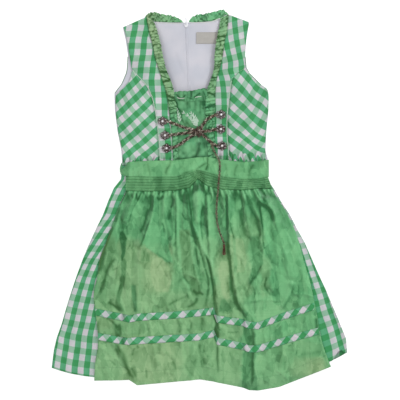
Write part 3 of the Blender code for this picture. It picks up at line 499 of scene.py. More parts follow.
class Finish:
    """A material with short ways to add nodes."""

    def __init__(self, name, roughness, metallic=0.0, **sockets):
        self.material = bpy.data.materials.new(name)
        self.material.use_nodes = True
        self.tree = self.material.node_tree
        self.shader = self.tree.nodes["Principled BSDF"]
        self.shader.inputs["Roughness"].default_value = roughness
        self.shader.inputs["Metallic"].default_value = metallic
        for socket, value in sockets.items():
            self.shader.inputs[socket.replace("_", " ")].default_value = value

    def put(self, socket, value):
        if isinstance(value, bpy.types.NodeSocket):
            self.tree.links.new(value, socket)
        else:
            socket.default_value = value

    def node(self, kind, *values, **settings):
        """A node with its first inputs set."""
        made = self.tree.nodes.new("ShaderNode" + kind)
        for key, value in settings.items():
            setattr(made, key, value)
        for socket, value in zip(made.inputs, values):
            self.put(socket, value)
        return made

    def number(self, operation, *values):
        return self.node("Math", *values, operation=operation).outputs[0]

    def total(self, start, parts):
        """start plus each value times its share."""
        for value, share in parts:
            start = self.number("MULTIPLY_ADD", value, share, start)
        return start

    def step(self, value, low, high, to_low=0.0, to_high=1.0):
        made = self.node("MapRange", value, low, high, to_low, to_high, interpolation_type="SMOOTHSTEP")
        return made.outputs[0]

    def blend(self, share, first, second, kind="MIX"):
        made = self.node("Mix", data_type="RGBA", blend_type=kind)
        self.put(made.inputs[0], share)
        self.put(made.inputs[6], first)
        self.put(made.inputs[7], second)
        return made.outputs[2]

    def between(self, share, first, second):
        """From one 8-bit display colour to another."""
        return self.blend(share, linear(*first), linear(*second))

    def times(self, shade, factor):
        return self.blend(1.0, shade, factor, "MULTIPLY")

    def channel(self, name, vector=False):
        made = self.node("Attribute", attribute_name=name)
        return made.outputs["Vector" if vector else "Fac"]

    def places(self, scale=(1, 1, 1), source=None):
        """Object coordinates, or another vector, times a scale."""
        source = source or self.node("TexCoord").outputs["Object"]
        return self.node("VectorMath", source, scale, operation="MULTIPLY").outputs[0]

    def noise(self, vector, scale, detail=3.0, roughness=0.5):
        made = self.node("TexNoise")
        values = {"Vector": vector, "Scale": scale, "Detail": detail, "Roughness": roughness}
        for name, value in values.items():
            self.put(made.inputs[name], value)
        return made.outputs["Fac"]

    def speckle(self, scale, detail=3.0, roughness=0.5, stretch=(1, 1, 1)):
        """Noise in the object's own coordinates."""
        return self.noise(self.places(stretch), scale, detail, roughness)

    def bent(self, vector, scale, reach):
        """Coordinates pushed about by noise."""
        noise = self.node("TexNoise")
        self.put(noise.inputs["Vector"], vector)
        self.put(noise.inputs["Scale"], scale)
        push = (reach, reach, reach)
        made = self.node("VectorMath", noise.outputs["Color"], push, vector, operation="MULTIPLY_ADD")
        return made.outputs[0]

    def cells(self, vector, scale):
        """A random number for each cell, and the distance from the cell's middle."""
        made = self.node("TexVoronoi")
        self.put(made.inputs["Vector"], vector)
        self.put(made.inputs["Scale"], scale)
        return self.node("SeparateXYZ", made.outputs["Color"]).outputs[0], made.outputs["Distance"]

    def colour(self, value):
        self.put(self.shader.inputs["Base Color"], value)

    def bump(self, height, distance, strength=1.0, under=None):
        made = self.node("Bump")
        self.put(made.inputs["Height"], height)
        made.inputs["Distance"].default_value = distance
        made.inputs["Strength"].default_value = strength
        if under is not None:
            self.put(made.inputs["Normal"], under)
        return made.outputs["Normal"]

    def relief(self, normal):
        self.put(self.shader.inputs["Normal"], normal)


# the gingham's four shades: lengthwise threads green or white, and in each crosswise threads green or white
GREEN_SHADES = ((54, 151, 86), (86, 170, 121))
WHITE_SHADES = ((147, 190, 162), (206, 205, 208))
STRIPE_EDGE = (0.235, 0.262)             # a white stripe's edge, in repeats from the stripe's middle
STRIPE_FUZZ = 0.045
WEAVE = 70.0                             # squares of the woven relief in a repeat


def gingham_finish():
    f = Finish("gingham", 0.82, Sheen_Weight=0.15)
    cloth_place = f.channel("cloth", vector=True)
    split = f.node("SeparateXYZ", cloth_place)
    fuzz = f.number("MULTIPLY_ADD", f.speckle(420, 2), STRIPE_FUZZ, -STRIPE_FUZZ / 2)
    masks = []
    for axis in (0, 1):
        spot = f.number("ADD", split.outputs[axis], fuzz)
        masks.append(f.step(f.number("PINGPONG", spot, 0.5), *STRIPE_EDGE, 1.0, 0.0))
    warp, weft = masks
    shade = f.blend(warp, f.between(weft, *GREEN_SHADES), f.between(weft, *WHITE_SHADES))
    tint = f.blend(f.step(f.speckle(34), 0.3, 0.7), (0.88, 0.96, 0.93, 1), (1.05, 1.01, 1.03, 1))
    slub = f.noise(f.places((60, 4, 1), cloth_place), 1.0, 2)
    slub_across = f.noise(f.places((4, 60, 1), cloth_place), 1.0, 2)
    grain = f.step(f.number("ADD", slub, slub_across), 0.7, 1.3, 0.93, 1.05)
    # the mesh's tone: painted light and shade of seams, edges, gathers, folds and creases, with random
    # patches
    tone = f.number("MULTIPLY_ADD", f.channel("tone"), 0.35, 1.0)
    f.colour(f.times(f.times(f.times(shade, tint), grain), tone))
    weave = f.node("TexChecker")
    f.put(weave.inputs["Vector"], cloth_place)
    f.put(weave.inputs["Scale"], WEAVE)
    woven = f.bump(weave.outputs["Fac"], 0.00012, 0.5)
    f.relief(f.bump(f.speckle(95, 4, 0.55), 0.0011, 0.55, woven))
    return f.material


# the taffeta's tone, which paints light and shade: its middle, and the shares of the mesh's tone, of each
# size of facet and of the cloud
TAFFETA_MIDDLE = 0.61
TONE_SHARE = 0.40
FACET_SHARE = 0.25
CLOUD_SHARE = 0.26


def taffeta_finish(name, cool, warm, facet=1.0):
    """Crisp shot silk: facets between fine creases, each facet with its own random painted shade, the mesh's
    tone painting light and shade, green one way and yellowish the other, the yellow partly the silk's own and
    partly painted sheen.
    """
    f = Finish(name, 0.42, Sheen_Weight=0.05, Specular_IOR_Level=0.3)
    bent = f.bent(f.bent(f.places((1, 0.38, 1)), 26, 0.014), 150, 0.003)
    large, large_middle = f.cells(bent, 52)
    small, small_middle = f.cells(f.bent(f.places((1, 0.6, 1)), 90, 0.007), 105)
    cloud = f.speckle(36, stretch=(1, 0.4, 1))
    facets = FACET_SHARE * facet
    start = TAFFETA_MIDDLE - 0.5 * CLOUD_SHARE - facets
    tone = f.number("MULTIPLY_ADD", f.channel("tone"), TONE_SHARE, start)
    tone = f.step(f.total(tone, ((large, facets), (small, facets), (cloud, CLOUD_SHARE))), 0.0, 1.0)
    shot = f.number("ADD", f.channel("shot"), -0.15)
    shot = f.total(shot, ((large, 0.12), (small, 0.08), (cloud, 0.20)))
    shade = f.blend(shot, f.between(tone, *cool), f.between(tone, *warm))
    rib = f.speckle(1.0, 2, stretch=(25, 420, 25))
    f.colour(f.times(shade, f.step(rib, 0.3, 0.7, 0.965, 1.025)))
    normal = f.bump(rib, 0.00008, 0.4)
    normal = f.bump(small_middle, 0.0012, 0.28 * facet, normal)
    normal = f.bump(large_middle, 0.0035, 0.30 * facet, normal)
    f.relief(f.bump(f.speckle(120, 4, 0.6), 0.0008, 0.4, normal))
    return f.material


def lining_finish():
    f = Finish("lining", 0.7, Sheen_Weight=0.1)
    shade = f.between(f.step(f.speckle(14), 0.35, 0.65), (196, 198, 208), (207, 206, 214))
    # the mesh's tone: painted shadow beside the frills and painted shade in creases
    shade = f.times(shade, f.number("MULTIPLY_ADD", f.channel("tone"), 0.2, 1.0))
    f.colour(f.times(shade, f.step(f.speckle(900, 1), 0.3, 0.7, 0.985, 1.01)))
    f.relief(f.bump(f.speckle(28), 0.0016, 0.35))
    return f.material


def thread_finish(name, light, dark):
    f = Finish(name, 0.55, Sheen_Weight=0.3)
    twist = f.speckle(900, 2)
    f.colour(f.between(twist, dark, light))
    f.relief(f.bump(twist, 0.0002, 0.6))
    return f.material


def pewter_finish(name, light, dark, brown, metallic):
    """Cast metal, dark in its pits and brown in patches."""
    f = Finish(name, 0.32, metallic)
    patina = f.speckle(260, 4, 0.6)
    shade = f.between(f.step(patina, 0.38, 0.62), dark, light)
    f.colour(f.blend(f.step(f.speckle(90, 2), 0.45, 0.7), shade, linear(*brown)))
    f.put(f.shader.inputs["Roughness"], f.step(patina, 0.3, 0.7, 0.48, 0.24))
    f.relief(f.bump(patina, 0.0003, 0.4))
    return f.material


def plastic_finish():
    f = Finish("white_plastic", 0.35)
    f.colour(f.between(f.speckle(60), (228, 229, 234), (240, 240, 244)))
    f.relief(f.bump(f.speckle(700, 2), 0.0001, 0.3))
    return f.material


def label_finish():
    f = Finish("label_cloth", 0.75)
    rib = f.speckle(1.0, 2, stretch=(40, 1500, 1))
    shade = f.between(f.speckle(60), (168, 165, 160), (182, 179, 174))
    f.colour(f.times(shade, f.step(rib, 0.3, 0.7, 0.94, 1.04)))
    f.relief(f.bump(rib, 0.0002, 0.6))
    return f.material


gingham = gingham_finish()
# taffetas: dark and light of the green, then of the yellow, between which the painted shade and light of the
# tone choose
taffeta = taffeta_finish("taffeta", ((32, 96, 49), (106, 192, 130)), ((74, 114, 56), (157, 192, 140)), 0.8)
frill_taffeta = taffeta_finish("frill_taffeta", ((30, 94, 52), (106, 184, 130)),
                               ((60, 98, 46), (156, 186, 140)), 0.35)
lining = lining_finish()
green_thread = thread_finish("green_thread", (80, 140, 92), (54, 106, 66))
white_thread = thread_finish("white_thread", (222, 226, 216), (184, 194, 180))
pale_thread = thread_finish("pale_thread", (204, 222, 206), (156, 192, 166))
# metals: light, dark and brown shades, then how metallic
pewter = pewter_finish("pewter", (194, 186, 182), (50, 38, 36), (98, 74, 68), 0.5)
tarnish = pewter_finish("tarnished_pewter", (64, 50, 48), (30, 22, 22), (52, 36, 34), 0.4)
# near-white, for the hooks' domes and beads: a painted highlight of polished metal
highlight_pewter = pewter_finish("pewter_painted_highlight", (250, 250, 252), (222, 220, 220), (232, 228, 226), 0.1)
# the lacing's bright and dark strands: painted light and painted shade of one chain metal
chain_painted_light = pewter_finish("chain_painted_light", (222, 214, 198), (104, 90, 80), (150, 130, 112), 0.45)
tail_metal = pewter_finish("tail_metal", (166, 148, 130), (44, 30, 28), (98, 62, 50), 0.4)
chain_painted_shade = pewter_finish("chain_painted_shade", (122, 100, 86), (40, 28, 28), (80, 52, 44), 0.4)
copper = pewter_finish("end_piece_metal", (124, 88, 70), (58, 36, 30), (100, 64, 48), 0.5)
white_plastic = plastic_finish()
label_cloth = label_finish()


# ---- bodice ----------------------------------------------------------------------------------------
def centre_back_x(y):
    return mix(*CENTRE_BACK_X, ramp(ZIP_AXIS_Y, WAIST_Y, y))


def back_place(side, height, swell):
    """Point of a back panel: side 1 is the left one, 2 the right one."""
    def place(u, v):
        row = v * (len(BACK_ROWS) - 1)
        y = np.interp(row, range(len(BACK_ROWS)), BACK_ROWS)
        level = np.where(row < 1, mix(OUTLINE[0][0], BACK_ROWS[1], row), y)
        rim = lookup(OUTLINE, level, side)
        middle = centre_back_x(level) + (-SEAM if side == 1 else SEAM)
        x = mix(rim, middle, u) if side == 1 else mix(middle, rim, u)
        y = np.where(row < 1, mix(lookup(BACK_TOP, x, 1), BACK_ROWS[1], row), y)
        return x, y, height + back_lift(y) + swell(x, y)
    return place


def lining_swell(x, y):
    return 0.22 + 0.22 * lumps(x, y, 42, 8)


def lining_tone(u, v, x, y):
    """Painted shadow beside the frills, painted shade in a crease or two, and random patches."""
    beside = -0.35 * bell(x + 76 + 0.32 * (y - 330), 20) * smooth(255, 290, y) * smooth(400, 350, y)
    crease = -0.25 * bell(x + 48 + 0.4 * (y - 330), 4) * smooth(290, 310, y) * smooth(365, 345, y)
    return beside + crease + 0.15 * lumps(x, y, 26, 9)


def straight_pattern(warp, weft, repeat, tilt=0.0):
    """Columns beside a line of the cloth, and rows that rise away from it."""
    def pattern(u, v, x, y):
        from_column = x - lookup(warp, y, 1)
        rise = tilt * smooth(240, 360, y) * from_column
        first = from_column / repeat + 0.03 * lumps(x, y, 30, 11)
        return first, (weft[0] + rise - y) / weft[1] + 0.03 * lumps(x, y, 26, 12)
    return pattern


GATHERS_TOP = (108, 122)                 # y where the gathers above the waistband begin, left and right


def gathers(x, y):
    """Small gathers above the waistband, -1 between them and 1 on them."""
    return np.sin(x / 2.3 + 1.6 * lumps(x, y, 18, 18))


def right_waves(x, y, pitch):
    """Slack of the right side front, -1 to 1."""
    return np.sin(x / pitch + 1.3 * lumps(x, y, 25, 17))


def bias_pattern(stripes, cross_x, cells, way, slack):
    """Stripes that rise towards the centre front; way is 1 on the left and -1 on the right."""
    levels = stripes[::-1]
    slopes = STRIPE_SLOPE[0 if way > 0 else 1]

    def pattern(u, v, x, y):
        slope = mix(*slopes, ramp(270, 110, y))
        crossing = y - way * slope * (x - cross_x)
        crossing = crossing + slack * 3.0 * right_waves(x, y, 9.0) * ramp(120, 235, x * 1.6)
        held_in = smooth(mix(*GATHERS_TOP, slack), 96, y)
        crossing = crossing + (2.5 + 3.5 * slack) * gathers(x, y) * held_in
        first = np.interp(crossing, levels, range(len(levels) - 1, -1, -1))
        second = (x - lookup(cells, first, 1)) / lookup(cells, first, 2) - way * first
        return first + 0.03 * lumps(x, y, 28, 13), second + 0.03 * lumps(x, y, 24, 14)
    return pattern


def bodice_back():
    rows = len(BACK_ROWS) - 1
    for side, name in ((1, "left"), (2, "right")):
        flat = back_place(side, 0.0, lambda x, y: 0.0 * x)
        outer = cloth("back_bodice_cloth_" + name, 40, 8 * rows, flat, 1.0, gingham, "gingham",
                      pattern=straight_pattern(UPRIGHT, LEFT_WEFT, STRAP_REPEAT[0]))
        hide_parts("back_bodice_" + name)
        inner_place = back_place(side, LINING_Z, lining_swell)
        inner = cloth("back_lining_cloth_" + name, 60, 14 * rows, inner_place, 0.8, lining, "lining",
                      tone=lining_tone)
        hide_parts("back_lining_" + name)


def strip_place(left, right, rows, first=0, ripple=None):
    """Panel between two edges. An edge has the panel's own rows, or starts first rows higher."""
    def place(u, v):
        t = first + v * rows
        start = along(left, t - (first if len(left) <= rows + 1 else 0))
        end = along(right, t - (first if len(right) <= rows + 1 else 0))
        x = mix(start[:, 0] + SEAM, end[:, 0] - SEAM, u)
        y = mix(start[:, 1], end[:, 1], u)
        z = bodice_z(x, y) + relief(x, y) * smooth(0, 0.06, u) * smooth(1, 0.94, u)
        if ripple is not None:
            z = z + ripple(u, v, x, y)
        return x, y, z
    return place


def left_ripple(u, v, x, y):
    """Small tucks where the side front is held in at the waist, and a soft dent under the armhole."""
    tucks = 0.9 * np.abs(np.sin(u * 17 + 2 * lumps(x, y, 20, 21))) * smooth(125, 95, y)
    return tucks + 0.6 * smooth(0.4, 1, np.sin((x + 0.9 * y) / 21.0)) * smooth(0, 0.2, u) * smooth(1, 0.8, u)


def right_ripple(u, v, x, y):
    """Deeper tucks at the waist, and slack that lies in upright waves."""
    tucks = 1.4 * np.abs(np.sin(u * 22 + 2 * lumps(x, y, 16, 22))) * smooth(150, 98, y)
    waves = 0.9 * (0.5 + 0.5 * right_waves(x, y, 8.0)) * smooth(0, 0.2, u)
    return tucks + waves * smooth(1, 0.85, u)


def painted_panel_shade(seam_side, width):
    """Painted shade: darker beside the princess seam and along the edges, painted shade in the gathers,
    darker on the right half and lighter on the left, and random patches. seam_side is the seam's share u.
    """
    def tone(u, v, x, y):
        rim = from_edge(u) * width
        from_seam = np.abs(u - seam_side) * width
        on_right = smooth(-40, 20, x)
        shade = mix(0.08, -0.13, on_right)
        shade = shade - 1.5 * smooth(0.4, 0.95, gathers(x, y)) * smooth(mix(*GATHERS_TOP, on_right), 98, y)
        shade = shade - 0.4 * bell(rim, 3.0) - 1.0 * bell(from_seam - 2.2, 1.6)
        return shade + 0.25 * lumps(x, y, 22, 31) + 0.15 * lumps(x, y, 9, 32)
    return tone


def front_panel(name, grid, place, pattern, seam):
    made = cloth(name + "_cloth", *grid, place, 1.2, gingham, "gingham",
                 pattern=pattern, tone=painted_panel_shade(*seam))
    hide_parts(name)


def bodice_front():
    rows = len(LEFT_FRONT) - 1
    side_rows = rows - SIDE_ROW
    strap, side = (30, 12 * rows), (48, 12 * side_rows)
    left_seam, left_frill = column(LEFT_FRONT, 0), column(LEFT_FRONT, 1)
    right_seam, right_frill = column(RIGHT_FRONT, 0), column(RIGHT_FRONT, 1)
    front_panel("centre_front_left", strap, strip_place(left_seam, left_frill, rows),
                straight_pattern(LEFT_WARP, LEFT_WEFT, STRAP_REPEAT[0]),
                (-1, 45))
    front_panel("centre_front_right", strap, strip_place(right_frill, right_seam, rows),
                straight_pattern(RIGHT_WARP, RIGHT_WEFT, STRAP_REPEAT[1], RIGHT_TILT),
                (-1, 45))
    front_panel("side_front_left", side,
                strip_place(LEFT_SIDE, left_seam, side_rows, SIDE_ROW, left_ripple),
                bias_pattern(LEFT_STRIPES, LEFT_STRIPE_X, LEFT_CELLS, 1, 0.2),
                (1, 75))
    front_panel("side_front_right", side,
                strip_place(right_seam, RIGHT_SIDE, side_rows, SIDE_ROW, right_ripple),
                bias_pattern(RIGHT_STRIPES, RIGHT_STRIPE_X, RIGHT_CELLS, -1, 1.0),
                (0, 75))


def front_line(points, first, last, lift, step=60):
    """Points along a seam of the bodice front, on its surface."""
    spots = along(points, np.linspace(first, last, step))
    heights = bodice_z(spots[:, 0], spots[:, 1]) + relief(spots[:, 0], spots[:, 1]) * 0.3 + FRONT_CLOTH + lift
    return [(x, y, z) for (x, y), z in zip(spots, heights)]


ARMHOLE_Y = ((345, 257), (345, 262))     # stretch of each armhole that has its edging
PIPING = 0.8
SEAM_PIPING = 0.75
STITCH = 0.28                            # radius of a stitch on the bodice


def bodice_seams():
    last = len(LEFT_FRONT) - 1
    bm = bmesh.new()
    for table, lean in ((LEFT_FRONT, 0.4), (RIGHT_FRONT, -0.4)):
        thread(bm, [(x + lean, y, z) for x, y, z in front_line(column(table, 1), 0.4, last, -0.1)], PIPING, 8)
    solid("frill_piping", bm, white_thread)
    bm = bmesh.new()
    for table, lean in ((LEFT_FRONT, 1.6), (RIGHT_FRONT, -1.6)):
        seam = [(x + lean, y, z) for x, y, z in front_line(column(table, 0), SIDE_ROW, last, -0.15, 90)]
        stitches(bm, seam, 3.2, STITCH)
    solid("princess_stitching", bm, white_thread)
    bm = bmesh.new()
    for table, first in ((LEFT_FRONT, SIDE_ROW), (RIGHT_FRONT, SIDE_ROW + 2)):
        thread(bm, front_line(column(table, 0), first, last, -0.25), SEAM_PIPING, 8)
    solid("princess_piping", bm, pale_thread)
    bm = bmesh.new()
    for side in (1, 2):
        y = np.linspace(*ARMHOLE_Y[side - 1], 60)
        thread(bm, [(a, b, LINING_Z + 0.7) for a, b in zip(lookup(OUTLINE, y, side), y)], PIPING, 8)
    solid("armhole_edging", bm, green_thread)
    bm = bmesh.new()
    for table in (LEFT_BACK_FRILL, RIGHT_BACK_FRILL):
        spots = along(column(table, 0), np.linspace(0.4, len(table) - 3.2, 50))
        thread(bm, [(x, y - 2.6, LINING_Z + 0.9) for x, y in spots], PIPING, 8)
    solid("neck_binding", bm, white_thread)


# ---- insert ----------------------------------------------------------------------------------------
def insert_seam(table, y):
    """x of the seam between a centre front and the insert."""
    return lookup([(seam[1], seam[0]) for _, seam, _ in table[INSERT_ROW:]], y, 1)


def insert_z(x, y):
    """Underside of the insert: gathers under its frill, puckers all over, and a fold, a bulge and a dip."""
    inside = smooth(0, 16, np.minimum(x - insert_seam(LEFT_FRONT, y), insert_seam(RIGHT_FRONT, y) - x))
    gather = 0.5 * np.abs(np.sin(x / 3.1 + 1.8 * lumps(x, y, 24, 41))) * smooth(185, 240, y)
    pucker = 0.9 * (0.5 + 0.5 * lumps(x, y, 9, 42)) + 0.5 * np.abs(lumps(x, y, 15, 43))
    fold = 2.2 * bell(x + 4 + 0.06 * (y - 120), 3.2) * smooth(162, 140, y)
    bulge = 1.6 * bell(x + 30, 20) * bell(y - 112, 22)
    dip = -0.8 * bell(x + 47 - 0.25 * (y - 200), 3.0) * smooth(165, 185, y)
    return bodice_z(x, y) - 0.3 + relief(x, y) * 0.6 + inside * (gather + pucker + fold + bulge + dip)


# creases of the insert, painted only, as shade or light: points, half width, how much lighter or darker
INSERT_CREASES = [
    ([(-58, 240), (-54, 222), (-45, 210), (-44, 195), (-32, 174)], 2.4, -1.3),
    ([(8, 246), (8, 224), (6, 218)], 3.0, -1.1), ([(-2, 140), (-3, 120), (-12, 100)], 3.4, -1.4),
    ([(-60, 100), (-30, 99), (0, 104), (34, 100)], 3.0, -1.0), ([(-56, 232), (-57, 200)], 3.0, -0.5),
    ([(-30, 240), (-31, 222)], 2.2, -0.5), ([(-22, 240), (-20, 220)], 2.0, 0.4),
    ([(-12, 240), (-12, 216)], 2.0, -0.5), ([(-4, 240), (-5, 214)], 2.0, 0.4),
    ([(2, 240), (0, 210)], 2.0, -0.5), ([(-50, 136), (-36, 128), (-22, 122)], 2.6, 0.4),
    ([(-34, 190), (-26, 180)], 3.0, -0.6), ([(12, 228), (22, 236)], 2.0, -0.8),
    ([(-26, 136), (-30, 112)], 2.4, 0.4), ([(10, 136), (14, 108)], 2.6, -0.4),
]


def insert_piece():
    rows = len(LEFT_FRONT) - 1 - INSERT_ROW
    left = column(LEFT_FRONT, 1)[INSERT_ROW:]
    right = column(RIGHT_FRONT, 1)[INSERT_ROW:]

    def place(u, v):
        start = along(left, v * rows)
        end = along(right, v * rows)
        x = mix(start[:, 0] + SEAM, end[:, 0] - SEAM, u)
        y = mix(start[:, 1], end[:, 1], u)
        return x, y, insert_z(x, y)

    def tone(u, v, x, y):
        # painted shade at the sides beside the frills and in the creases, painted light on a few ridges,
        # lighter low down, and random patches
        crowd = -0.35 * bell(from_edge(u), 0.14)
        cloudy = 0.5 * lumps(x, y, 8, 44) + 0.08 * smooth(150, 135, y)
        return crowd - 0.12 + cloudy + crease_field(x, y, INSERT_CREASES)
    made = cloth("insert_cloth", 110, 150, place, 0.9, frill_taffeta, "taffeta", tone=tone,
                 shot=lambda u, v, x, y: 0.05 + 0.1 * lumps(x, y, 30, 45))
    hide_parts("insert")


INSERT_FRILL = (22.0, 7.0)               # how far it reaches above and below its row of the fronts
INSERT_PLEATS = (0, 0.10, 0.29, 0.37, 0.50, 0.61, 0.66, 0.86, 1.0)       # shares at which its pleats begin
INSERT_PIPING = ([(-56, 246.5), (-51, 244), (-44, 243.4), (-36, 244.6)],
                 [(-12, 245.5), (-6, 247.2), (4, 248.6)])
# creases of the insert's frill, sunk or raised and painted with shade or light: points, half width, how much
# lighter or darker
INSERT_FRILL_CREASES = [
    ([(-60, 256), (-52, 247.5), (-45, 244), (-37, 249), (-34, 255)], 1.8, -1.6),
    ([(-22, 261), (-21, 249)], 1.5, -1.2), ([(-16, 245), (-6, 252), (1, 257)], 1.8, -1.4),
    ([(8, 260), (15, 244)], 1.8, -1.0), ([(-46, 256), (-45, 248)], 3.0, 0.4),
    ([(-8, 262), (6, 262)], 3.0, 0.35), ([(-30, 246), (-18, 242)], 1.6, -0.7),
    ([(-58, 240), (-40, 239)], 1.6, -0.5),
]


def insert_frill():
    start = LEFT_FRONT[INSERT_ROW][2][0]
    end = RIGHT_FRONT[INSERT_ROW][2][0]
    top_y = LEFT_FRONT[INSERT_ROW][1][1]
    above, below = INSERT_FRILL

    def pleat(u, v):
        turn = np.interp(u + 0.10 * (0.5 - v) * np.sin(9 * u), INSERT_PLEATS, range(len(INSERT_PLEATS)))
        part = turn - np.floor(turn)
        return np.sin(math.pi * part) ** 0.6, part

    def place(u, v):
        x = mix(start - 1.0, end + 2.0, u)
        shape, part = pleat(u, v)
        loose = 1 - v
        edge = 1.2 * np.sin(9.0 * u) + 2.6 * (shape - 0.6) - 9.5 * (1 - u) + 1.0
        y = mix(top_y + above, top_y - below, v) + loose * edge
        x = x + 2.4 * (part - 0.5) * loose
        height = mix(2.4, 0.4, smooth(0.0, 0.95, v)) * shape * (0.75 + 0.25 * np.sin(11 * u + 1))
        height = np.maximum(height + 0.6 * crease_field(x, y, INSERT_FRILL_CREASES), 0.0)
        stand = (CLOTH + LAYER_GAP) * smooth(1.0, 0.7, v)
        return x, y, bodice_z(x, y) + relief(x, y) + stand + 0.9 + height

    def tone(u, v, x, y):
        shape, part = pleat(u, v)
        # painted light on the pleats' crests, painted shade in their hollows and creases, darker along the
        # free edge, and random patches
        shade = 0.7 * (shape - 0.75) + 0.3 * (part - 0.5) + 0.5 * lumps(x, y, 7, 46)
        return shade + crease_field(x, y, INSERT_FRILL_CREASES) - 0.4 * bell(v, 0.08) - 0.25
    made = cloth("insert_frill_cloth", 150, 22, place, 0.8, frill_taffeta, "taffeta", tone=tone,
                 shot=lambda u, v, x, y: 0.05 + 0.0 * u)
    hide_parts("insert_frill")


def insert_piping():
    """White piping that peeps out under the frill in two short stretches."""
    bm = bmesh.new()
    for stretch in INSERT_PIPING:
        x, y = along(stretch, np.linspace(0, len(stretch) - 1, 16)).T
        level = bodice_z(x, y) + relief(x, y) + CLOTH + LAYER_GAP + 2.1
        thread(bm, list(zip(x, y, level)), 0.9, 8, True)
    solid("insert_piping", bm, white_thread)


def on_insert(x, y, lift):
    """A point this far above the insert's underside."""
    return x, y, float(insert_z(np.array([x]), np.array([y]))[0]) + lift


# sprigs: points of the stem, leaves a side, length and width of the largest leaf
SPRIGS = [
    ([(-4, 175), (-12, 185), (-22, 197), (-40, 210)], 6, 13.0, 3.4),
    ([(-8, 178), (-10, 190), (-14, 200), (-21, 208)], 5, 12.0, 3.2),
    ([(-49, 184), (-50, 195), (-53, 207), (-56, 216)], 5, 11.0, 3.0),
    ([(-6, 196), (-7, 188), (-9, 181)], 3, 8.0, 2.6),
]
LEAF_ANGLE = math.radians(26)


def leaf_spray(bm, stem, leaves, length, width):
    """Embroidered sprig: a stitched stem with leaves on both sides, getting smaller to the tip."""
    last = len(stem) - 1
    thread(bm, [on_insert(x, y, 1.15) for x, y in along(stem, np.linspace(0, last, 14))], 0.9, 6, True)
    for k in range(leaves):
        share = 0.12 + 0.80 * k / (leaves - 1)
        at, next_to = along(stem, np.array([share * last, min(share + 0.05, 1) * last]))
        ahead = next_to - at
        heading = math.atan2(ahead[1], ahead[0])
        reach = length * (1.0 - 0.45 * share)
        size = (reach / 2, width / 2 * (1.0 - 0.3 * share), 0.55)
        for side in (1, -1):
            turn = heading + side * LEAF_ANGLE
            x = at[0] + math.cos(turn) * reach * 0.55
            y = at[1] + math.sin(turn) * reach * 0.55
            ball(bm, on_insert(x, y, 1.2), size, turn, 2)


def embroidery():
    bm = bmesh.new()
    for stem, leaves, length, width in SPRIGS:
        leaf_spray(bm, stem, leaves, length, width)
    solid("insert_embroidery", bm, pale_thread, angle=60)


# ---- frills ----------------------------------------------------------------------------------------
PLEAT_PEAK = 0.62                        # share of a pleat at which it stands highest
FRILL_ROWS = 12


def frill(name, node, seam, free, columns, base, height, pleats, swing, lean, shots, flat,
          creases=(), droop=None, tuck=0.0):
    """Gathered frill between a seam and its free edge, with leaning pleats of uneven depth.

    height gives a pleat's height at u, v; swing is how far a pleat pushes its free edge along and outward;
    lean how far pleats slant; shots how yellow the frill is along its run; tuck how far its end goes under.
    """
    count = len(seam) - 1
    rng = np.random.RandomState(len(name) + pleats)
    shares = np.linspace(0, 1, 400)
    jitter = np.interp(shares, np.linspace(0, 1, pleats), rng.uniform(-0.45, 0.45, pleats))
    depth = rng.uniform(0.3, 1.0, pleats + 2)
    tints = rng.uniform(-0.5, 0.5, pleats + 2)

    def phase(u):
        return u * pleats + np.interp(u, shares, jitter)

    def pleat(u, v):
        turn = phase(u) + lean * v
        part = turn - np.floor(turn)
        uneven = np.interp(phase(u), range(pleats + 2), depth)
        rising = np.sin(part / PLEAT_PEAK * math.pi / 2)
        falling = np.cos((part - PLEAT_PEAK) / (1 - PLEAT_PEAK) * math.pi / 2)
        return np.where(part < PLEAT_PEAK, rising, falling), uneven

    def place(u, v):
        t = u * count
        start = along(seam, t)
        end = along(free, t)
        shape, uneven = pleat(u, v)
        across = mix(-0.05 - tuck * smooth(3.7, 4.6, t), 1.0, v)
        ahead = along(free, np.minimum(t + 0.05, count)) - along(free, np.maximum(t - 0.05, 0))
        ahead = ahead / np.linalg.norm(ahead, axis=1)[:, None]
        outward = end - start
        outward = outward / np.linalg.norm(outward, axis=1)[:, None]
        push = (swing[0] * (shape - 0.5) * uneven * v)[:, None] * ahead
        reach = (swing[1] * (shape - 0.6) * uneven * v ** 2)[:, None] * outward
        spot = start + (end - start) * across[:, None] + push + reach
        x, y = spot[:, 0], spot[:, 1]
        z = base(x, y) + height(u, v) * shape * uneven
        if droop is not None:
            z = z - droop(u, v)
        return x, y, z

    def tone(u, v, x, y):
        # painted light on the pleats' crests and painted shade in their hollows, a random tint a pleat,
        # painted shade at the seam, along slanting creases and in the deep creases, and random patches
        shape, uneven = pleat(u, v)
        tint = np.interp(phase(u), range(pleats + 2), tints)
        total = 1.4 * (shape - 0.62) * uneven + tint - 0.8 * bell(v, 0.13) + 0.8 * lumps(x, y, 4.5, 52)
        total = total + 0.35 * lumps(x, y, 11, 53)
        for pitch, slant, seed in ((0.61, -1.7, 54), (0.43, 1.5, 56)):
            cross = pitch * phase(u) + slant * v + 0.6 * lumps(x, y, 16, seed)
            sharp = bell(cross - np.round(cross), 0.16 * pitch)
            total = total - 1.3 * sharp * smooth(-0.4, 0.2, lumps(x, y, 12, seed + 1)) + 0.08
        for at, width, slant in creases:
            total = total - 2.6 * bell(u + slant * v - at, width)
        return total

    def shot(u, v, x, y):
        return np.interp(u, np.linspace(0, 1, len(shots)), shots) + 0.1 * lumps(x, y, 14, 51)
    made = cloth(name, columns, FRILL_ROWS, place, 0.7, frill_taffeta, "taffeta", tone=tone, shot=shot)
    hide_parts(node)


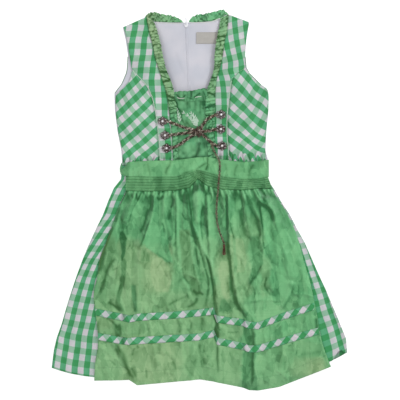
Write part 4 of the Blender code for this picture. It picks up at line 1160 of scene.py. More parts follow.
# deep creases across the front frills, painted as shade only: share along, half width, slant
LEFT_FRILL_CREASES = ((0.365, 0.008, 0.012), (0.395, 0.005, -0.02), (0.448, 0.008, 0.03),
                      (0.56, 0.01, -0.02), (0.60, 0.006, 0.0), (0.70, 0.006, 0.01))
RIGHT_FRILL_CREASES = ((0.135, 0.006, 0.0), (0.41, 0.006, 0.0), (0.56, 0.008, 0.03), (0.63, 0.007, -0.02),
                       (0.72, 0.006, 0.01))
LEFT_FRILL_SHOTS = (0.85, 0.75, 0.7, 0.6, 0.65, 0.3, 0.0, 0.0, 0.05)
RIGHT_FRILL_SHOTS = (0.35, 0.6, 0.6, 0.45, 0.3, 0.1, 0.0, 0.0, 0.05)


def front_frills():
    rows = len(LEFT_FRONT) - 1

    def base(x, y):
        return bodice_z(x, y) + relief(x, y) + FRONT_CLOTH + REST_GAP

    def height(u, v):
        return mix(0.6, mix(*FRILL_WAVE, v), ramp(1.0, 0.90, u))

    def droop(u, v):
        return FRILL_DROOP * smooth(0.3, 1.0, v) * smooth(INSERT_ROW + 0.5, INSERT_ROW - 1.0, u * rows)
    shared = {"columns": 460, "base": base, "height": height, "droop": droop}
    frill("neck_frill_left_cloth", "neck_frill_left", column(LEFT_FRONT, 1), column(LEFT_FRONT, 2),
          pleats=54, swing=(2.8, 3.4), lean=0.7, shots=LEFT_FRILL_SHOTS, flat=(0.45, 0.019),
          creases=LEFT_FRILL_CREASES, **shared)
    frill("neck_frill_right_cloth", "neck_frill_right", column(RIGHT_FRONT, 1), column(RIGHT_FRONT, 2),
          pleats=44, swing=(2.4, 3.0), lean=-0.5, shots=RIGHT_FRILL_SHOTS, flat=(0.45, 0.020),
          creases=RIGHT_FRILL_CREASES, **shared)


def back_frills():
    def base(x, y):
        return 0.0 * x

    def height(u, v):
        return 0.95 * mix(*FRILL_WAVE, v) * np.minimum(1.0, 5 * from_edge(u))
    shared = {"columns": 150, "base": base, "height": height, "pleats": 12, "swing": (3.2, 4.0), "lean": 1.3,
              "tuck": 0.45}
    frill("back_frill_left_cloth", "back_frill_left",
          column(LEFT_BACK_FRILL, 0), column(LEFT_BACK_FRILL, 1),
          shots=(0.2, 0.25, 0.4, 0.65, 0.85), flat=(0.095, 0.019), **shared)
    frill("back_frill_right_cloth", "back_frill_right",
          column(RIGHT_BACK_FRILL, 0), column(RIGHT_BACK_FRILL, 1),
          shots=(0.0, 0.02, 0.05, 0.15, 0.3), flat=(0.105, 0.019), **shared)


# ---- skirt -----------------------------------------------------------------------------------------
SKIRT_ROWS = (82.7, 50, 34, -20, -80, -150, -230, -315, -405)
CORNER_GAP = (318, 333, 351, 15)         # the front's hem lifts off the back near the right corner
BACK_FOLDS = 16
FRONT_FOLDS = 20


def skirt_xy(u, v):
    y = np.interp(v * (len(SKIRT_ROWS) - 1), range(len(SKIRT_ROWS)), SKIRT_ROWS)
    x = mix(lookup(OUTLINE, y, 1), lookup(OUTLINE, y, 2), u)
    down = ramp(SKIRT_ROWS[3], SKIRT_ROWS[-1], y)
    return x, y + (skirt_hem_y(x) - SKIRT_ROWS[-1]) * down ** 2


def skirt_pattern(u, v, x, y):
    """Columns run beside the side edge of their half and fan out; rows run beside the hem."""
    from_left = (x - lookup(OUTLINE, y, 1) - lookup(LEFT_SKIRT, y, 1)) / lookup(LEFT_SKIRT, y, 2)
    from_right = (lookup(OUTLINE, y, 2) - lookup(RIGHT_SKIRT, y, 1) - x) / lookup(RIGHT_SKIRT, y, 2)
    left = x < 0
    first = np.where(left, from_left, np.where(from_right > 0, from_right / INNER_SPREAD, from_right))
    above = y - skirt_hem_y(x)
    left_row, left_start, right_row, right_start = SKIRT_WEFT
    second = np.where(left, (above - left_start) / left_row, (above - right_start) / right_row)
    return first + 0.035 * lumps(x, y, 40, 61), second + 0.03 * lumps(x, y, 34, 62)


def front_ridge(u):
    """0 between the gathers of the skirt's front and 1 on them."""
    return 0.5 - 0.5 * np.cos(2 * math.pi * (FRONT_FOLDS * u + 0.3 * np.sin(13 * u)))


def skirt():
    def back(u, v):
        x, y = skirt_xy(u, v)
        ridge = 0.5 - 0.5 * np.cos(2 * math.pi * BACK_FOLDS * u)
        fade = np.minimum(1.0, from_edge(u) * 6)
        return x, y, back_lift(y) + mix(*BACK_GATHER, fall(y)) * ridge * fade

    def front(u, v):
        x, y = skirt_xy(u, v)
        first, peak, last, gap = CORNER_GAP
        opened = smooth(first, peak, x) * smooth(last, peak + 6, x) * smooth(0.93, 1.0, v)
        puff = 0.9 * (0.5 + 0.5 * lumps(x, y, 26, 63)) * smooth(0, 0.03, u) * smooth(1, 0.97, u)
        sharp = front_ridge(u) ** 0.8 * (0.75 + 0.25 * lumps(x, y * 0.2, 30, 64))
        z = skirt_front_z(x, y, np.clip(sharp, 0, 1)) + puff * smooth(0, SKIRT_RUN, inset(x, y)) * 0.3
        z = z + 1.5 * opened + 0.5 * bell(v - 0.985, 0.012)
        return x, y + gap * opened, np.minimum(z, skirt_front_z(x, y, 1.0) + 2.2 * (opened > 0) + 0.2)

    def shade(u, v, x, y):
        # painted light on the gathers' crests, painted shade between them and along the outline, and random
        # patches
        return 0.22 * (front_ridge(u) - 0.6) - 0.25 * bell(inset(x, y), 5.0) + 0.12 * lumps(x, y, 30, 65)

    def inside(u, v, x, y):
        """Painted shadow where the lifted corner of the front lets one look in."""
        return -0.9 * smooth(300, 330, x) * smooth(0.9, 0.97, v)
    made = cloth("skirt_back_cloth", 120, 100, back, 1.0, gingham, "gingham",
                 pattern=skirt_pattern, tone=inside)
    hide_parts("skirt_back")
    made = cloth("skirt_front_cloth", 200, 150, front, 1.0, gingham, "gingham",
                 pattern=skirt_pattern, tone=shade)
    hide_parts("skirt_front")


# ---- apron -----------------------------------------------------------------------------------------
# folds of the apron. Each is a line of points from its head, the half widths on its left or lower side and on
# its right or upper side, its height, and how much lighter or darker those two sides are painted, as light
# and shade.
FOLDS = [
    ([(-112, 30), (-111, -28), (-135, -95), (-148, -120)], 11, 7, 5.0, -0.1, -0.7),
    ([(-139, 28), (-166, -28), (-187, -52)], 10, 8, 4.2, -0.5, 0.2),
    ([(-86, 26), (-83, -40), (-68, -95), (-62, -150)], 7, 9, 3.6, -0.5, 0.2),
    ([(-56, 28), (-56, -107), (-47, -150)], 6, 9, 4.2, -0.6, 0.3),
    ([(-31, 34), (-26, -37), (-9, -78), (8, -121), (27, -157), (29, -217)], 7, 5, 5.0, -0.9, 0.4),
    ([(-7, 60), (-4, 0), (-7, -61)], 10, 9, 6.0, 0.3, 0.3),
    ([(15, 34), (19, -37), (22, -90), (27, -148), (39, -208), (44, -260), (45, -337), (45, -414)], 5, 15,
      6.2, -1.2, 0.35),
    ([(49, 30), (60, -25), (54, -52), (58, -70)], 5, 7, 3.2, -0.6, 0.3),
    ([(70, 30), (67, -4), (70, -71), (74, -148), (86, -208), (92, -251), (118, -281)], 5, 13, 5.8, -1.1,
      0.3),
    ([(106, 28), (107, 6), (113, -52), (125, -95)], 6, 9, 4.2, -0.6, 0.2),
    ([(142, 30), (143, 2), (149, -47), (152, -95), (155, -148)], 9, 9, 6.0, -0.9, 0.3),
    ([(155, -148), (140, -181), (116, -210)], 5, 8, 2.8, -0.4, 0.5),
    ([(152, 10), (170, -20), (181, -40), (181, -75)], 8, 9, 4.6, -0.7, 0.2),
    ([(-199, -10), (-211, -54), (-228, -90), (-243, -126)], 8, 8, 4.2, -0.2, -0.4),
    ([(-180, -52), (-192, -102), (-182, -150)], 7, 8, -3.2, -0.9, -0.6),
    ([(-192, -150), (-200, -190), (-201, -236), (-180, -270)], 9, 7, 4.6, 0.1, -0.8),
    ([(-127, -114), (-100, -131), (-69, -150)], 6, 12, 2.6, 0.3, -0.3),
    ([(-73, -169), (-67, -196), (-72, -222), (-84, -241)], 6, 5, 2.2, -0.3, 0.4),
    ([(-46, -186), (-22, -222)], 6, 5, 2.6, -0.4, 0.4),
    ([(-22, -224), (-61, -255), (-82, -260)], 5, 8, 3.2, 0.3, -0.4),
    ([(-150, -150), (-148, -210), (-153, -277)], 12, 10, 4.0, -0.3, 0.5),
    ([(98, -246), (147, -240), (183, -243)], 7, 6, 2.6, -0.3, 0.5),
    ([(165, -160), (174, -224)], 7, 5, 3.0, 0.4, -0.3),
    ([(157, -208), (181, -236)], 4, 4, -2.4, -0.9, -0.9),
    ([(221, -193), (209, -231), (192, -263)], 9, 8, 4.4, 0.1, -0.4),
    ([(116, -92), (142, -77)], 5, 5, 2.4, -0.6, 0.3),
    ([(101, -284), (103, -360), (100, -452)], 8, 4, 3.6, 0.2, -1.0),
    ([(130, -284), (131, -365), (128, -455)], 4, 13, 5.0, -1.1, 0.4),
    ([(-196, -349), (-180, -389), (-150, -441)], 6, 9, 4.4, -1.0, 0.3),
    ([(200, -122), (216, -158), (221, -193)], 9, 12, 3.6, 0.2, -0.3),
    ([(240, -133), (260, -217), (270, -313)], 11, 10, 3.6, 0.1, -0.3),
    ([(-230, -330), (-205, -350), (-190, -380)], 5, 6, 2.6, -0.4, 0.2),
    ([(-120, -300), (-112, -350), (-96, -420)], 9, 11, 2.8, -0.4, 0.3),
    ([(-40, -300), (-44, -350), (-40, -430)], 9, 8, 2.6, -0.3, 0.3),
    ([(195, -290), (200, -345), (192, -440)], 10, 9, 2.8, -0.3, 0.3),
    ([(250, -270), (262, -330), (270, -405)], 9, 9, 2.6, -0.3, 0.2),
]
# finer creases with painted shade and the bright ridges between them with painted highlight: points, half
# width, how much lighter or darker
CREASES = [
    # from the shirring down, left to right
    ([(-142, 23), (-149, -1), (-160, -20), (-169, -44), (-173, -58)], 2.0, -1.0),
    ([(-137, 18), (-145, 1), (-157, -17), (-166, -40)], 2.0, 0.6),
    ([(-117, 20), (-116, -15), (-126, -30), (-135, -63), (-140, -73), (-150, -82)], 4.3, -1.1),
    ([(-118, -44), (-128, -70), (-133, -87), (-140, -104), (-146, -115)], 2.6, -1.0),
    ([(-110, 18), (-110, -13), (-114, -37), (-126, -75), (-133, -94), (-138, -108)], 2.1, 0.7),
    ([(-190, -77), (-183, -85), (-179, -96)], 3.3, -1.0), ([(-176, -63), (-174, -82)], 2.0, -0.8),
    ([(-153, 18), (-152, 6), (-147, -1)], 2.9, -1.0), ([(-166, 15), (-161, 6)], 2.1, -0.9),
    ([(-135, 18), (-130, 6)], 2.0, -0.5),
    ([(-176, 15), (-185, -6), (-191, -30), (-197, -54), (-200, -73), (-192, -111)], 2.0, 0.5),
    ([(-192, -15), (-199, -39), (-206, -63), (-216, -77), (-228, -104)], 3.0, -0.6),
    ([(-162, -96), (-160, -106), (-164, -118)], 1.6, -0.6), ([(-168, -108), (-174, -118)], 1.6, -0.6),
    ([(-142, -1), (-147, -25), (-152, -54)], 7.0, 0.3),
    ([(-187, -20), (-185, -49), (-185, -73)], 6.0, -0.4),
    ([(-104, 8), (-99, 1), (-92, 4), (-87, 11)], 2.1, -1.0),
    ([(-102, 13), (-95, 18), (-87, 20)], 2.0, -0.9), ([(-97, 8), (-90, 15)], 2.0, 0.6),
    ([(-68, 20), (-64, 18), (-59, 23)], 2.0, -1.0), ([(-64, 4), (-66, -8), (-71, -20)], 2.6, -1.2),
    ([(-71, -32), (-76, -46)], 1.8, -1.0), ([(-71, -1), (-76, -30), (-78, -54)], 7.0, -0.4),
    ([(-85, 23), (-87, -25), (-87, -49), (-81, -77), (-85, -96)], 2.4, 0.6),
    ([(-92, -54), (-87, -65), (-87, -80)], 1.7, -0.6),
    ([(-65, -13), (-66, -37), (-62, -85), (-65, -108)], 1.8, 0.4),
    ([(-58, -13), (-58, -85), (-60, -111)], 2.0, -0.5),
    ([(-55, 18), (-53, -13), (-54, -73), (-52, -115)], 2.4, 0.55),
    ([(-49, 1), (-37, -6), (-28, -8)], 2.0, -0.5), ([(-45, -31), (-40, -39), (-34, -49)], 1.5, -0.9),
    ([(-32, 25), (-27, -1), (-22, -39), (-16, -82), (-12, -96), (-9, -115)], 2.3, -1.4),
    ([(-28, -44), (-26, -73), (-22, -96), (-20, -120)], 2.9, 0.4),
    ([(-20, 4), (-11, -68), (-8, -98)], 6.0, -0.5), ([(-33, 27), (-32, 22)], 2.4, -1.3),
    ([(-17, 25), (-17, 20)], 2.4, -1.3), ([(7, 29), (7, 24)], 2.4, -1.3), ([(20, 29), (20, 24)], 2.4, -1.3),
    ([(-8, 23), (-7, -6), (-7, -35), (-4, -58)], 4.8, 0.7),
    ([(8, -13), (3, -30), (1, -49), (3, -77), (8, -115)], 2.4, -0.9),
    ([(12, 23), (11, -13), (8, -73)], 7.0, -0.6), ([(-2, -58), (-1, -82), (2, -106), (4, -120)], 1.8, 0.9),
    ([(18, 23), (21, -25), (22, -77), (23, -108)], 2.1, 0.7), ([(10, 15), (7, -8)], 2.4, 0.4),
    ([(23, 18), (28, 8), (24, -6)], 1.6, -0.7), ([(16, -87), (20, -101)], 1.5, -0.6),
    ([(45, 6), (49, -13), (55, -23)], 1.8, -0.7), ([(47, 13), (60, -23), (53, -37), (49, -43)], 1.6, 0.6),
    ([(64, 18), (64, -8), (65, -30), (65, -54), (64, -77)], 2.9, -1.6),
    ([(68, 11), (67, -13), (68, -35), (71, -51)], 2.1, 0.6),
    ([(71, -54), (74, -68), (79, -85), (81, -94)], 1.8, -1.1), ([(83, 17), (83, 12)], 2.0, -1.0),
    ([(83, 8), (84, -11), (85, -30)], 2.4, -0.6), ([(97, 13), (101, -15), (96, -30)], 1.8, -0.8),
    ([(91, -20), (98, -39), (107, -82), (112, -92)], 4.3, -0.8),
    ([(108, -13), (107, -32), (111, -65), (117, -75)], 2.0, 0.6),
    ([(110, 15), (117, -15), (133, -42), (139, -58), (143, -87), (134, -94)], 3.8, -0.8),
    ([(124, -8), (139, -37), (149, -73), (147, -96), (150, -120)], 2.0, 0.7),
    ([(142, -13), (145, -35), (150, -73), (151, -96), (154, -120)], 1.8, -0.9),
    ([(136, 18), (140, 4), (148, -6), (160, -11), (170, -20), (177, -35), (181, -49)], 2.4, 0.6),
    ([(140, -2), (146, -11), (158, -15), (167, -25), (173, -39), (174, -54)], 4.8, -1.6),
    ([(154, 17), (154, 12)], 2.0, -1.0), ([(146, 8), (153, -1)], 1.6, -0.6),
    # middle, left to right
    ([(-201, -137), (-216, -156), (-224, -173), (-230, -194), (-238, -218)], 4.0, -1.4),
    ([(-199, -163), (-209, -168)], 1.6, -0.8), ([(-228, -192), (-237, -199)], 1.8, -0.9),
    ([(-236, -203), (-239, -220)], 2.9, -0.6), ([(-223, -244), (-211, -251), (-190, -265)], 3.3, -1.5),
    ([(-173, -215), (-180, -234), (-175, -258)], 12.0, 0.35),
    ([(-154, -206), (-154, -227), (-156, -246)], 2.4, -0.4),
    ([(-166, -199), (-156, -206), (-147, -201)], 2.9, -0.4), ([(-139, -227), (-141, -242)], 1.8, -0.7),
    ([(-133, -180), (-133, -215)], 1.8, -0.35), ([(-228, -120), (-235, -149), (-241, -173)], 2.9, -0.7),
    ([(-221, -115), (-225, -139), (-230, -158)], 1.6, 0.6), ([(-106, -225), (-110, -239)], 1.8, -0.5),
    ([(-105, -125), (-97, -134), (-85, -142), (-66, -157)], 2.1, -0.9),
    ([(-91, -146), (-103, -162)], 1.6, -0.7), ([(-51, -120), (-51, -149), (-49, -173)], 2.1, 0.5),
    ([(-54, -132), (-55, -149)], 1.5, -0.5), ([(-41, -184), (-33, -194), (-26, -203)], 1.8, -1.0),
    ([(-45, -192), (-28, -218), (-21, -227)], 4.8, 0.5),
    ([(-18, -215), (-9, -224), (1, -223), (10, -230)], 2.4, -1.5),
    ([(-18, -115), (-16, -144), (-7, -184), (-2, -199)], 2.9, 0.6),
    ([(-11, -115), (-8, -134), (-4, -161)], 2.1, -1.1),
    ([(-5, -120), (-1, -139), (12, -177), (18, -196)], 1.8, 0.5),
    ([(1, -125), (8, -149), (20, -201), (15, -239), (11, -258)], 2.1, -1.0),
    ([(3, -113), (8, -132), (21, -163), (26, -215), (23, -239), (16, -258)], 2.1, 0.7),
    ([(12, -125), (21, -156), (29, -196), (32, -215), (33, -239), (35, -263)], 2.5, -1.6),
    ([(22, -120), (26, -149), (34, -201), (42, -263)], 2.0, 0.6), ([(-1, -168), (0, -192)], 2.0, -0.6),
    ([(-26, -227), (-52, -240), (-66, -246), (-78, -255)], 3.1, -0.9),
    ([(-8, -234), (-10, -244), (-21, -253), (-33, -258)], 3.1, -1.1),
    ([(-23, -244), (-57, -258), (-66, -265)], 4.8, 0.3),
    ([(-73, -163), (-67, -208), (-73, -223)], 1.6, -0.5),
    ([(67, -115), (71, -139), (74, -187), (83, -234), (89, -249), (98, -265), (110, -282), (120, -289)],
      3.0, -1.2),
    ([(65, -196), (68, -211), (67, -223)], 2.0, -0.9),
    ([(53, -149), (51, -180), (55, -211), (62, -234)], 7.6, 0.5),
    ([(51, -269), (65, -272), (74, -268)], 1.6, -0.5), ([(39, -232), (42, -251), (46, -268)], 1.6, 0.5),
    ([(82, -180), (86, -211), (96, -234), (110, -258), (120, -277)], 2.1, 0.5),
    ([(148, -156), (139, -175), (129, -189), (117, -206)], 2.1, -1.0),
    ([(160, -182), (155, -206), (162, -218), (171, -231)], 2.2, -1.3),
    ([(117, -245), (134, -244), (148, -240), (162, -239)], 2.1, -0.5),
    ([(222, -201), (220, -220), (212, -239), (193, -270)], 2.6, -0.8),
    ([(172, -180), (179, -203), (189, -225), (201, -242)], 2.9, -0.45),
    ([(153, -120), (154, -149)], 1.8, 0.5), ([(155, -115), (160, -130)], 1.8, -0.9),
    # between the trims
    ([(-227, -283), (-214, -290), (-204, -299), (-199, -308)], 3.0, -1.2),
    ([(-197, -294), (-197, -299)], 3.0, 0.7), ([(-197, -325), (-197, -330)], 3.5, -1.2),
    ([(-145, -311), (-147, -327)], 1.8, -0.6), ([(-244, -287), (-243, -322), (-241, -344)], 2.4, -1.0),
    ([(4, -280), (5, -299), (4, -318)], 4.8, -1.1),
    ([(-55, -284), (-51, -296), (-47, -311), (-51, -320)], 3.0, -1.0),
    ([(-95, -289), (-90, -301), (-83, -318)], 2.8, -0.8),
    ([(-82, -316), (-76, -321), (-64, -322)], 1.6, -0.6),
    ([(-28, -287), (-21, -296), (-23, -308), (-33, -315)], 2.6, -0.7),
    ([(33, -263), (35, -282), (41, -299), (36, -311), (41, -327), (42, -337)], 3.0, -2.0),
    ([(41, -299), (46, -311)], 2.0, -1.2), ([(55, -296), (65, -303)], 2.0, -0.9),
    ([(67, -318), (86, -318)], 1.8, -1.0), ([(70, -330), (82, -337)], 1.8, -0.7),
    ([(277, -282), (279, -306), (273, -318)], 4.0, -1.3),
    ([(215, -311), (217, -320), (224, -318)], 1.6, -0.9), ([(193, -294), (184, -303)], 1.8, -0.7),
    ([(167, -301), (167, -334)], 1.8, -0.5), ([(181, -306), (181, -339)], 1.8, -0.4),
    ([(139, -311), (137, -334), (139, -346)], 6.0, 0.35),
    # below the lower trim
    ([(-208, -340), (-197, -354), (-187, -368), (-181, -382), (-176, -399), (-171, -413), (-156, -441)],
      4.2, -1.3),
    ([(-166, -401), (-156, -420), (-147, -439)], 3.5, -0.9),
    ([(-221, -384), (-211, -389), (-203, -399)], 1.9, -1.1),
    ([(-156, -355), (-161, -363), (-162, -375)], 1.9, -0.9), ([(-151, -351), (-149, -354)], 2.0, -1.3),
    ([(-131, -402), (-129, -415), (-128, -430)], 2.2, -1.1),
    ([(-98, -344), (-99, -358), (-97, -372)], 5.0, -1.0),
    ([(41, -349), (42, -363), (41, -382), (43, -401), (43, -418)], 2.2, -1.1),
    ([(1, -344), (-2, -358), (2, -372), (8, -387), (13, -399)], 4.0, -1.1),
    ([(8, -358), (15, -372), (20, -377)], 1.8, -0.7), ([(2, -384), (4, -396), (7, -403)], 2.2, -1.0),
    ([(20, -391), (26, -399), (34, -399)], 1.6, -0.7), ([(-39, -344), (-37, -363), (-33, -375)], 2.5, -0.5),
    ([(-83, -363), (-71, -377), (-61, -396), (-56, -411)], 2.8, -0.7),
    ([(-71, -363), (-56, -382), (-47, -401)], 2.6, 0.5), ([(-86, -394), (-85, -418)], 2.5, -0.5),
    ([(-76, -396), (-71, -411)], 1.8, -0.4), ([(51, -370), (55, -387)], 1.6, -0.5),
    ([(130, -377), (137, -406), (144, -425), (149, -449)], 5.0, 0.4),
    ([(151, -418), (156, -442)], 1.6, -0.6), ([(204, -372), (204, -396), (201, -411)], 2.4, -0.8),
    ([(232, -351), (232, -368)], 1.9, -0.9), ([(213, -351), (222, -344)], 1.6, -0.8),
    ([(282, -325), (288, -339)], 1.6, -0.6), ([(289, -325), (298, -346), (305, -382)], 4.0, 0.3),
    ([(238, -370), (265, -368), (291, -363)], 4.0, -0.4), ([(298, -375), (305, -396)], 1.8, -0.6),
    ([(170, -370), (177, -387)], 2.0, 0.4),
]
CREASE_RISE = 0.7
# broad areas whose cloth faces another way, painted lighter or darker for how the light falls on it: x, y,
# half sizes, lighter or darker
AREAS = [
    (-3, 40, 14, 17, -0.9), (-38, -26, 8, 20, 0.35), (14, -96, 7, 14, 0.5), (95, -11, 4.5, 11, 0.4),
    (160, -75, 9, 30, 0.25), (86, -61, 8, 52, 0.4), (73, -96, 3.6, 19, 0.3), (-133, -139, 10, 17, -0.35),
    (-214, -199, 12, 24, 0.2), (-42, -170, 6, 12, 0.4), (89, -132, 10, 29, 0.5), (115, -149, 8, 29, 0.3),
    (155, -163, 7, 12, 0.2), (131, -206, 5, 10, -0.4), (229, -227, 10, 33, -0.4), (203, -192, 12, 43, 0.2),
    (148, -268, 5, 12, -0.35), (-196, -313, 9, 18, -0.8), (-23, -399, 11, 28, -0.6),
    (53, -318, 10, 12, -0.5), (193, -382, 9, 20, -0.4), (146, -389, 11, 20, 0.35),
    (-160, -410, 7, 16, -0.5), (-120, -200, 58, 62, 0.2), (-100, -390, 120, 48, 0.15),
    (150, -270, 60, 26, 0.3), (220, -380, 60, 46, 0.1), (-7, -10, 9, 60, 0.4), (-222, -120, 18, 44, -0.4),
    (190, -60, 40, 90, 0.1),
]
# facets with crisp edges, painted with light or shade: lighter or darker, how yellow, rows of y, left edge,
# right edge
PANELS = [
    (-0.5, 0.2, [(-85, 115, 139), (-104, 120, 148), (-120, 124, 150), (-139, 127, 150), (-153, 127, 153),
      (-168, 123, 141), (-184, 121, 132), (-203, 115, 118)]),
    (-0.5, 0.5, [(-70, -50, -24), (-108, -47, -23), (-132, -45, -21), (-156, -45, -16), (-180, -40, -7),
      (-203, -26, -2), (-220, -23, 3), (-232, -16, 6)]),
    (0.35, 0.85, [(-145, 50, 66), (-168, 43, 70), (-192, 48, 70), (-215, 51, 70), (-239, 60, 72)]),
    (0.3, 0.7, [(-80, 72, 79), (-120, 72, 79), (-156, 74, 80), (-190, 79, 84)]),
    (0.2, 0.75, [(-90, 84, 100), (-125, 86, 110), (-149, 90, 112), (-175, 88, 105)]),
    (-0.8, 0.15, [(-74, -194, -187), (-92, -193, -175), (-108, -190, -178), (-125, -188, -180), (-146,
      -190, -186)]),
    (-0.8, 0.45, [(-140, -190, -180), (-149, -190, -176), (-180, -190, -178), (-203, -193, -183), (-227,
      -200, -190), (-246, -203, -192), (-270, -194, -180)]),
    (0.2, 0.05, [(-60, -122, -86), (-92, -131, -78), (-112, -132, -75), (-130, -106, -70), (-151, -78,
      -62)]),
    (-0.35, 0.6, [(-116, -142, -130), (-134, -142, -120), (-150, -142, -120)]),
    (0.25, 0.9, [(-136, -106, -92), (-149, -116, -84), (-163, -118, -72), (-182, -118, -69), (-201, -114,
      -69), (-222, -104, -78)]),
    (-0.5, 0.2, [(-203, -166, -153), (-227, -164, -152), (-251, -160, -152), (-270, -158, -150)]),
    (-0.5, 0.45, [(-195, 70, 76), (-215, 72, 82), (-232, 75, 88), (-246, 80, 96), (-266, 90, 112)]),
    (-0.5, 0.3, [(-236, 52, 60), (-253, 48, 72), (-270, 44, 80)]),
    (-0.7, 0.2, [(-262, 98, 108), (-273, 102, 118), (-284, 103, 129), (-311, 104, 126), (-322, 105, 134),
      (-334, 108, 134), (-346, 112, 136), (-370, 103, 129), (-387, 104, 127), (-406, 102, 131), (-425, 101,
      137), (-470, 99, 139)]),
]
# how yellow the shot silk looks, place by place, partly its own yellow and partly painted sheen and
# highlight: x, y, half sizes, 0 green to 1 yellow
YELLOW = [
    (0, -20, 190, 62, 0.10), (-220, -168, 17, 70, 0.45), (-168, -173, 26, 62, 0.62),
    (-107, -168, 37, 46, 0.78), (-11, -168, 50, 66, 0.30), (-100, -252, 110, 30, 0.55),
    (-118, -295, 110, 30, 0.50), (-225, -292, 14, 20, 0.75), (-220, -382, 32, 50, 0.50),
    (-118, -387, 70, 45, 0.76), (25, -387, 66, 50, 0.48), (118, -368, 16, 80, 0.20),
    (203, -394, 60, 45, 0.32), (256, -402, 34, 20, 0.9), (53, -184, 18, 54, 0.72), (96, -140, 22, 90, 0.50),
    (127, -65, 20, 30, 0.45), (134, -144, 14, 44, 0.20), (158, -180, 10, 36, 0.50),
    (215, -140, 50, 100, 0.10), (262, -239, 24, 24, 0.08), (239, -299, 60, 30, 0.15),
    (80, -300, 30, 30, 0.50), (180, -262, 60, 26, 0.22),
]
YELLOW_ELSEWHERE = 0.25
YELLOW_BASE = 0.02                       # weight of that beside the places above
PUCKERS = 35
STREAKS = 60
CRUMPLES = 330


APRON_ACROSS = [(25, 341), (-432, 568)]  # y, how wide the apron is there
APRON_GRID = (236, 196)                  # columns and rows of its mesh


def beside(x, y, points, reach):
    """Which places lie near a smooth line, how far from it, on which side, and how far along it."""
    spans = 1 if len(points) == 2 else 3 * (len(points) - 1)
    line = along(points, np.linspace(0, len(points) - 1, spans + 1))
    low = line.min(axis=0) - reach
    high = line.max(axis=0) + reach
    near = (x > low[0]) & (x < high[0]) & (y > low[1]) & (y < high[1])
    px, py = x[near], y[near]
    best = np.full(px.shape, 1e9)
    side = np.zeros_like(px)
    share = np.zeros_like(px)
    for k in range(spans):
        (ax, ay), (bx, by) = line[k], line[k + 1]
        dx, dy = bx - ax, by - ay
        t = np.clip(((px - ax) * dx + (py - ay) * dy) / (dx * dx + dy * dy), 0, 1)
        away = np.hypot(px - ax - t * dx, py - ay - t * dy)
        closer = away < best
        best = np.where(closer, away, best)
        side = np.where(closer, dx * (py - ay) - dy * (px - ax), side)
        share = np.where(closer, (k + t) / spans, share)
    return near, best, side, smooth(-0.02, 0.14, share) * smooth(1.02, 0.80, share)


def fold_field(x, y, folds, sharp=1.35):
    """Height and tone that a list of folds gives at places; the tone is painted light and shade on each
    fold's two flanks.
    """
    height = np.zeros_like(x)
    tone = np.zeros_like(x)
    for points, lower, upper, rise, lower_tone, upper_tone in folds:
        near, best, side, fade = beside(x, y, points, 3.2 * max(lower, upper))
        width = np.where(side > 0, upper, lower)
        height[near] += rise * np.exp(-(best / width) ** sharp) * fade
        flank = bell(best - 0.7 * width, 0.75 * width) * fade
        tone[near] += np.where(side > 0, upper_tone, lower_tone) * flank
    return height, tone


def crease_field(x, y, creases, sharp=1.6):
    """Tone that a list of creases gives at places: painted shade along the dark ones, which are troughs, and
    painted highlight along the bright ones, which are ridges.
    """
    tone = np.zeros_like(x)
    for points, width, shade in creases:
        near, best, _, fade = beside(x, y, points, 3.0 * width)
        ends = mix(fade, 1.0, float(len(points) == 2))
        tone[near] += shade * np.exp(-(best / (width * 1.1)) ** sharp) * ends
    return tone


def yellow_field(x, y):
    """How yellow the apron looks, 0 to 1: partly the shot silk's own yellow and partly painted sheen."""
    shift_x = 7 * lumps(x, y, 24, 74) + 3 * lumps(x, y, 9, 75)
    shift_y = 7 * lumps(x, y, 26, 76) + 3 * lumps(x, y, 10, 77)
    total = np.full_like(x, YELLOW_BASE)
    value = YELLOW_ELSEWHERE * total
    for centre_x, centre_y, half_x, half_y, share in YELLOW:
        off = ((x + shift_x - centre_x) / half_x) ** 4 + ((y + shift_y - centre_y) / half_y) ** 4
        weight = np.exp(-off)
        total = total + weight
        value = value + share * weight
    return value / total


def crumple_list():
    """Short sharp creases all over, at every angle but mostly along the fall of the cloth, each with painted
    light and shade on its flanks.
    """
    rng = random.Random(7)
    made = []
    for _ in range(CRUMPLES):
        y = rng.uniform(-450, 0)
        half = mix(190, 290, (25 - y) / 470)
        x = rng.uniform(-half, half) + 10
        turn = math.radians(90 + rng.gauss(0, 42))
        reach = rng.uniform(10, 34)
        bend = rng.uniform(-0.25, 0.25) * reach
        dx, dy = math.cos(turn) * reach, math.sin(turn) * reach
        line = [(x - dx, y - dy), (x + bend * math.sin(turn), y - bend * math.cos(turn)), (x + dx, y + dy)]
        rise = rng.choice((1, 1, -1)) * rng.uniform(0.5, 1.8)
        made.append((line, rng.uniform(2.0, 6), rng.uniform(2.0, 6), rise,
                     rng.uniform(-0.4, 0.1), rng.uniform(-0.1, 0.3)))
    return made


def puckers(u, depth, across):
    """Crowded ridges where the apron leaves the shirring, each with its own length."""
    rng = random.Random(23)
    total = np.zeros_like(u)
    for k in range(PUCKERS):
        centre = (k + 0.5 + rng.uniform(-0.32, 0.32)) / PUCKERS
        drift = rng.uniform(-0.009, 0.009)
        bend = rng.uniform(-0.005, 0.005)
        reach = rng.choice((16, 22, 28, 40, 62)) * rng.uniform(0.8, 1.2)
        width = rng.uniform(2.3, 3.6)
        rise = rng.uniform(1.8, 3.6)
        spread = (width * (1 + depth / 50)) / across
        away = np.abs(u - centre - drift * depth / 40 - bend * np.sin(depth / 13 + k))
        ridge = rise * np.exp(-(away / spread) ** 1.3)
        total += ridge * smooth(reach, 0.2 * reach, depth) * smooth(-6, 5, depth)
    return total


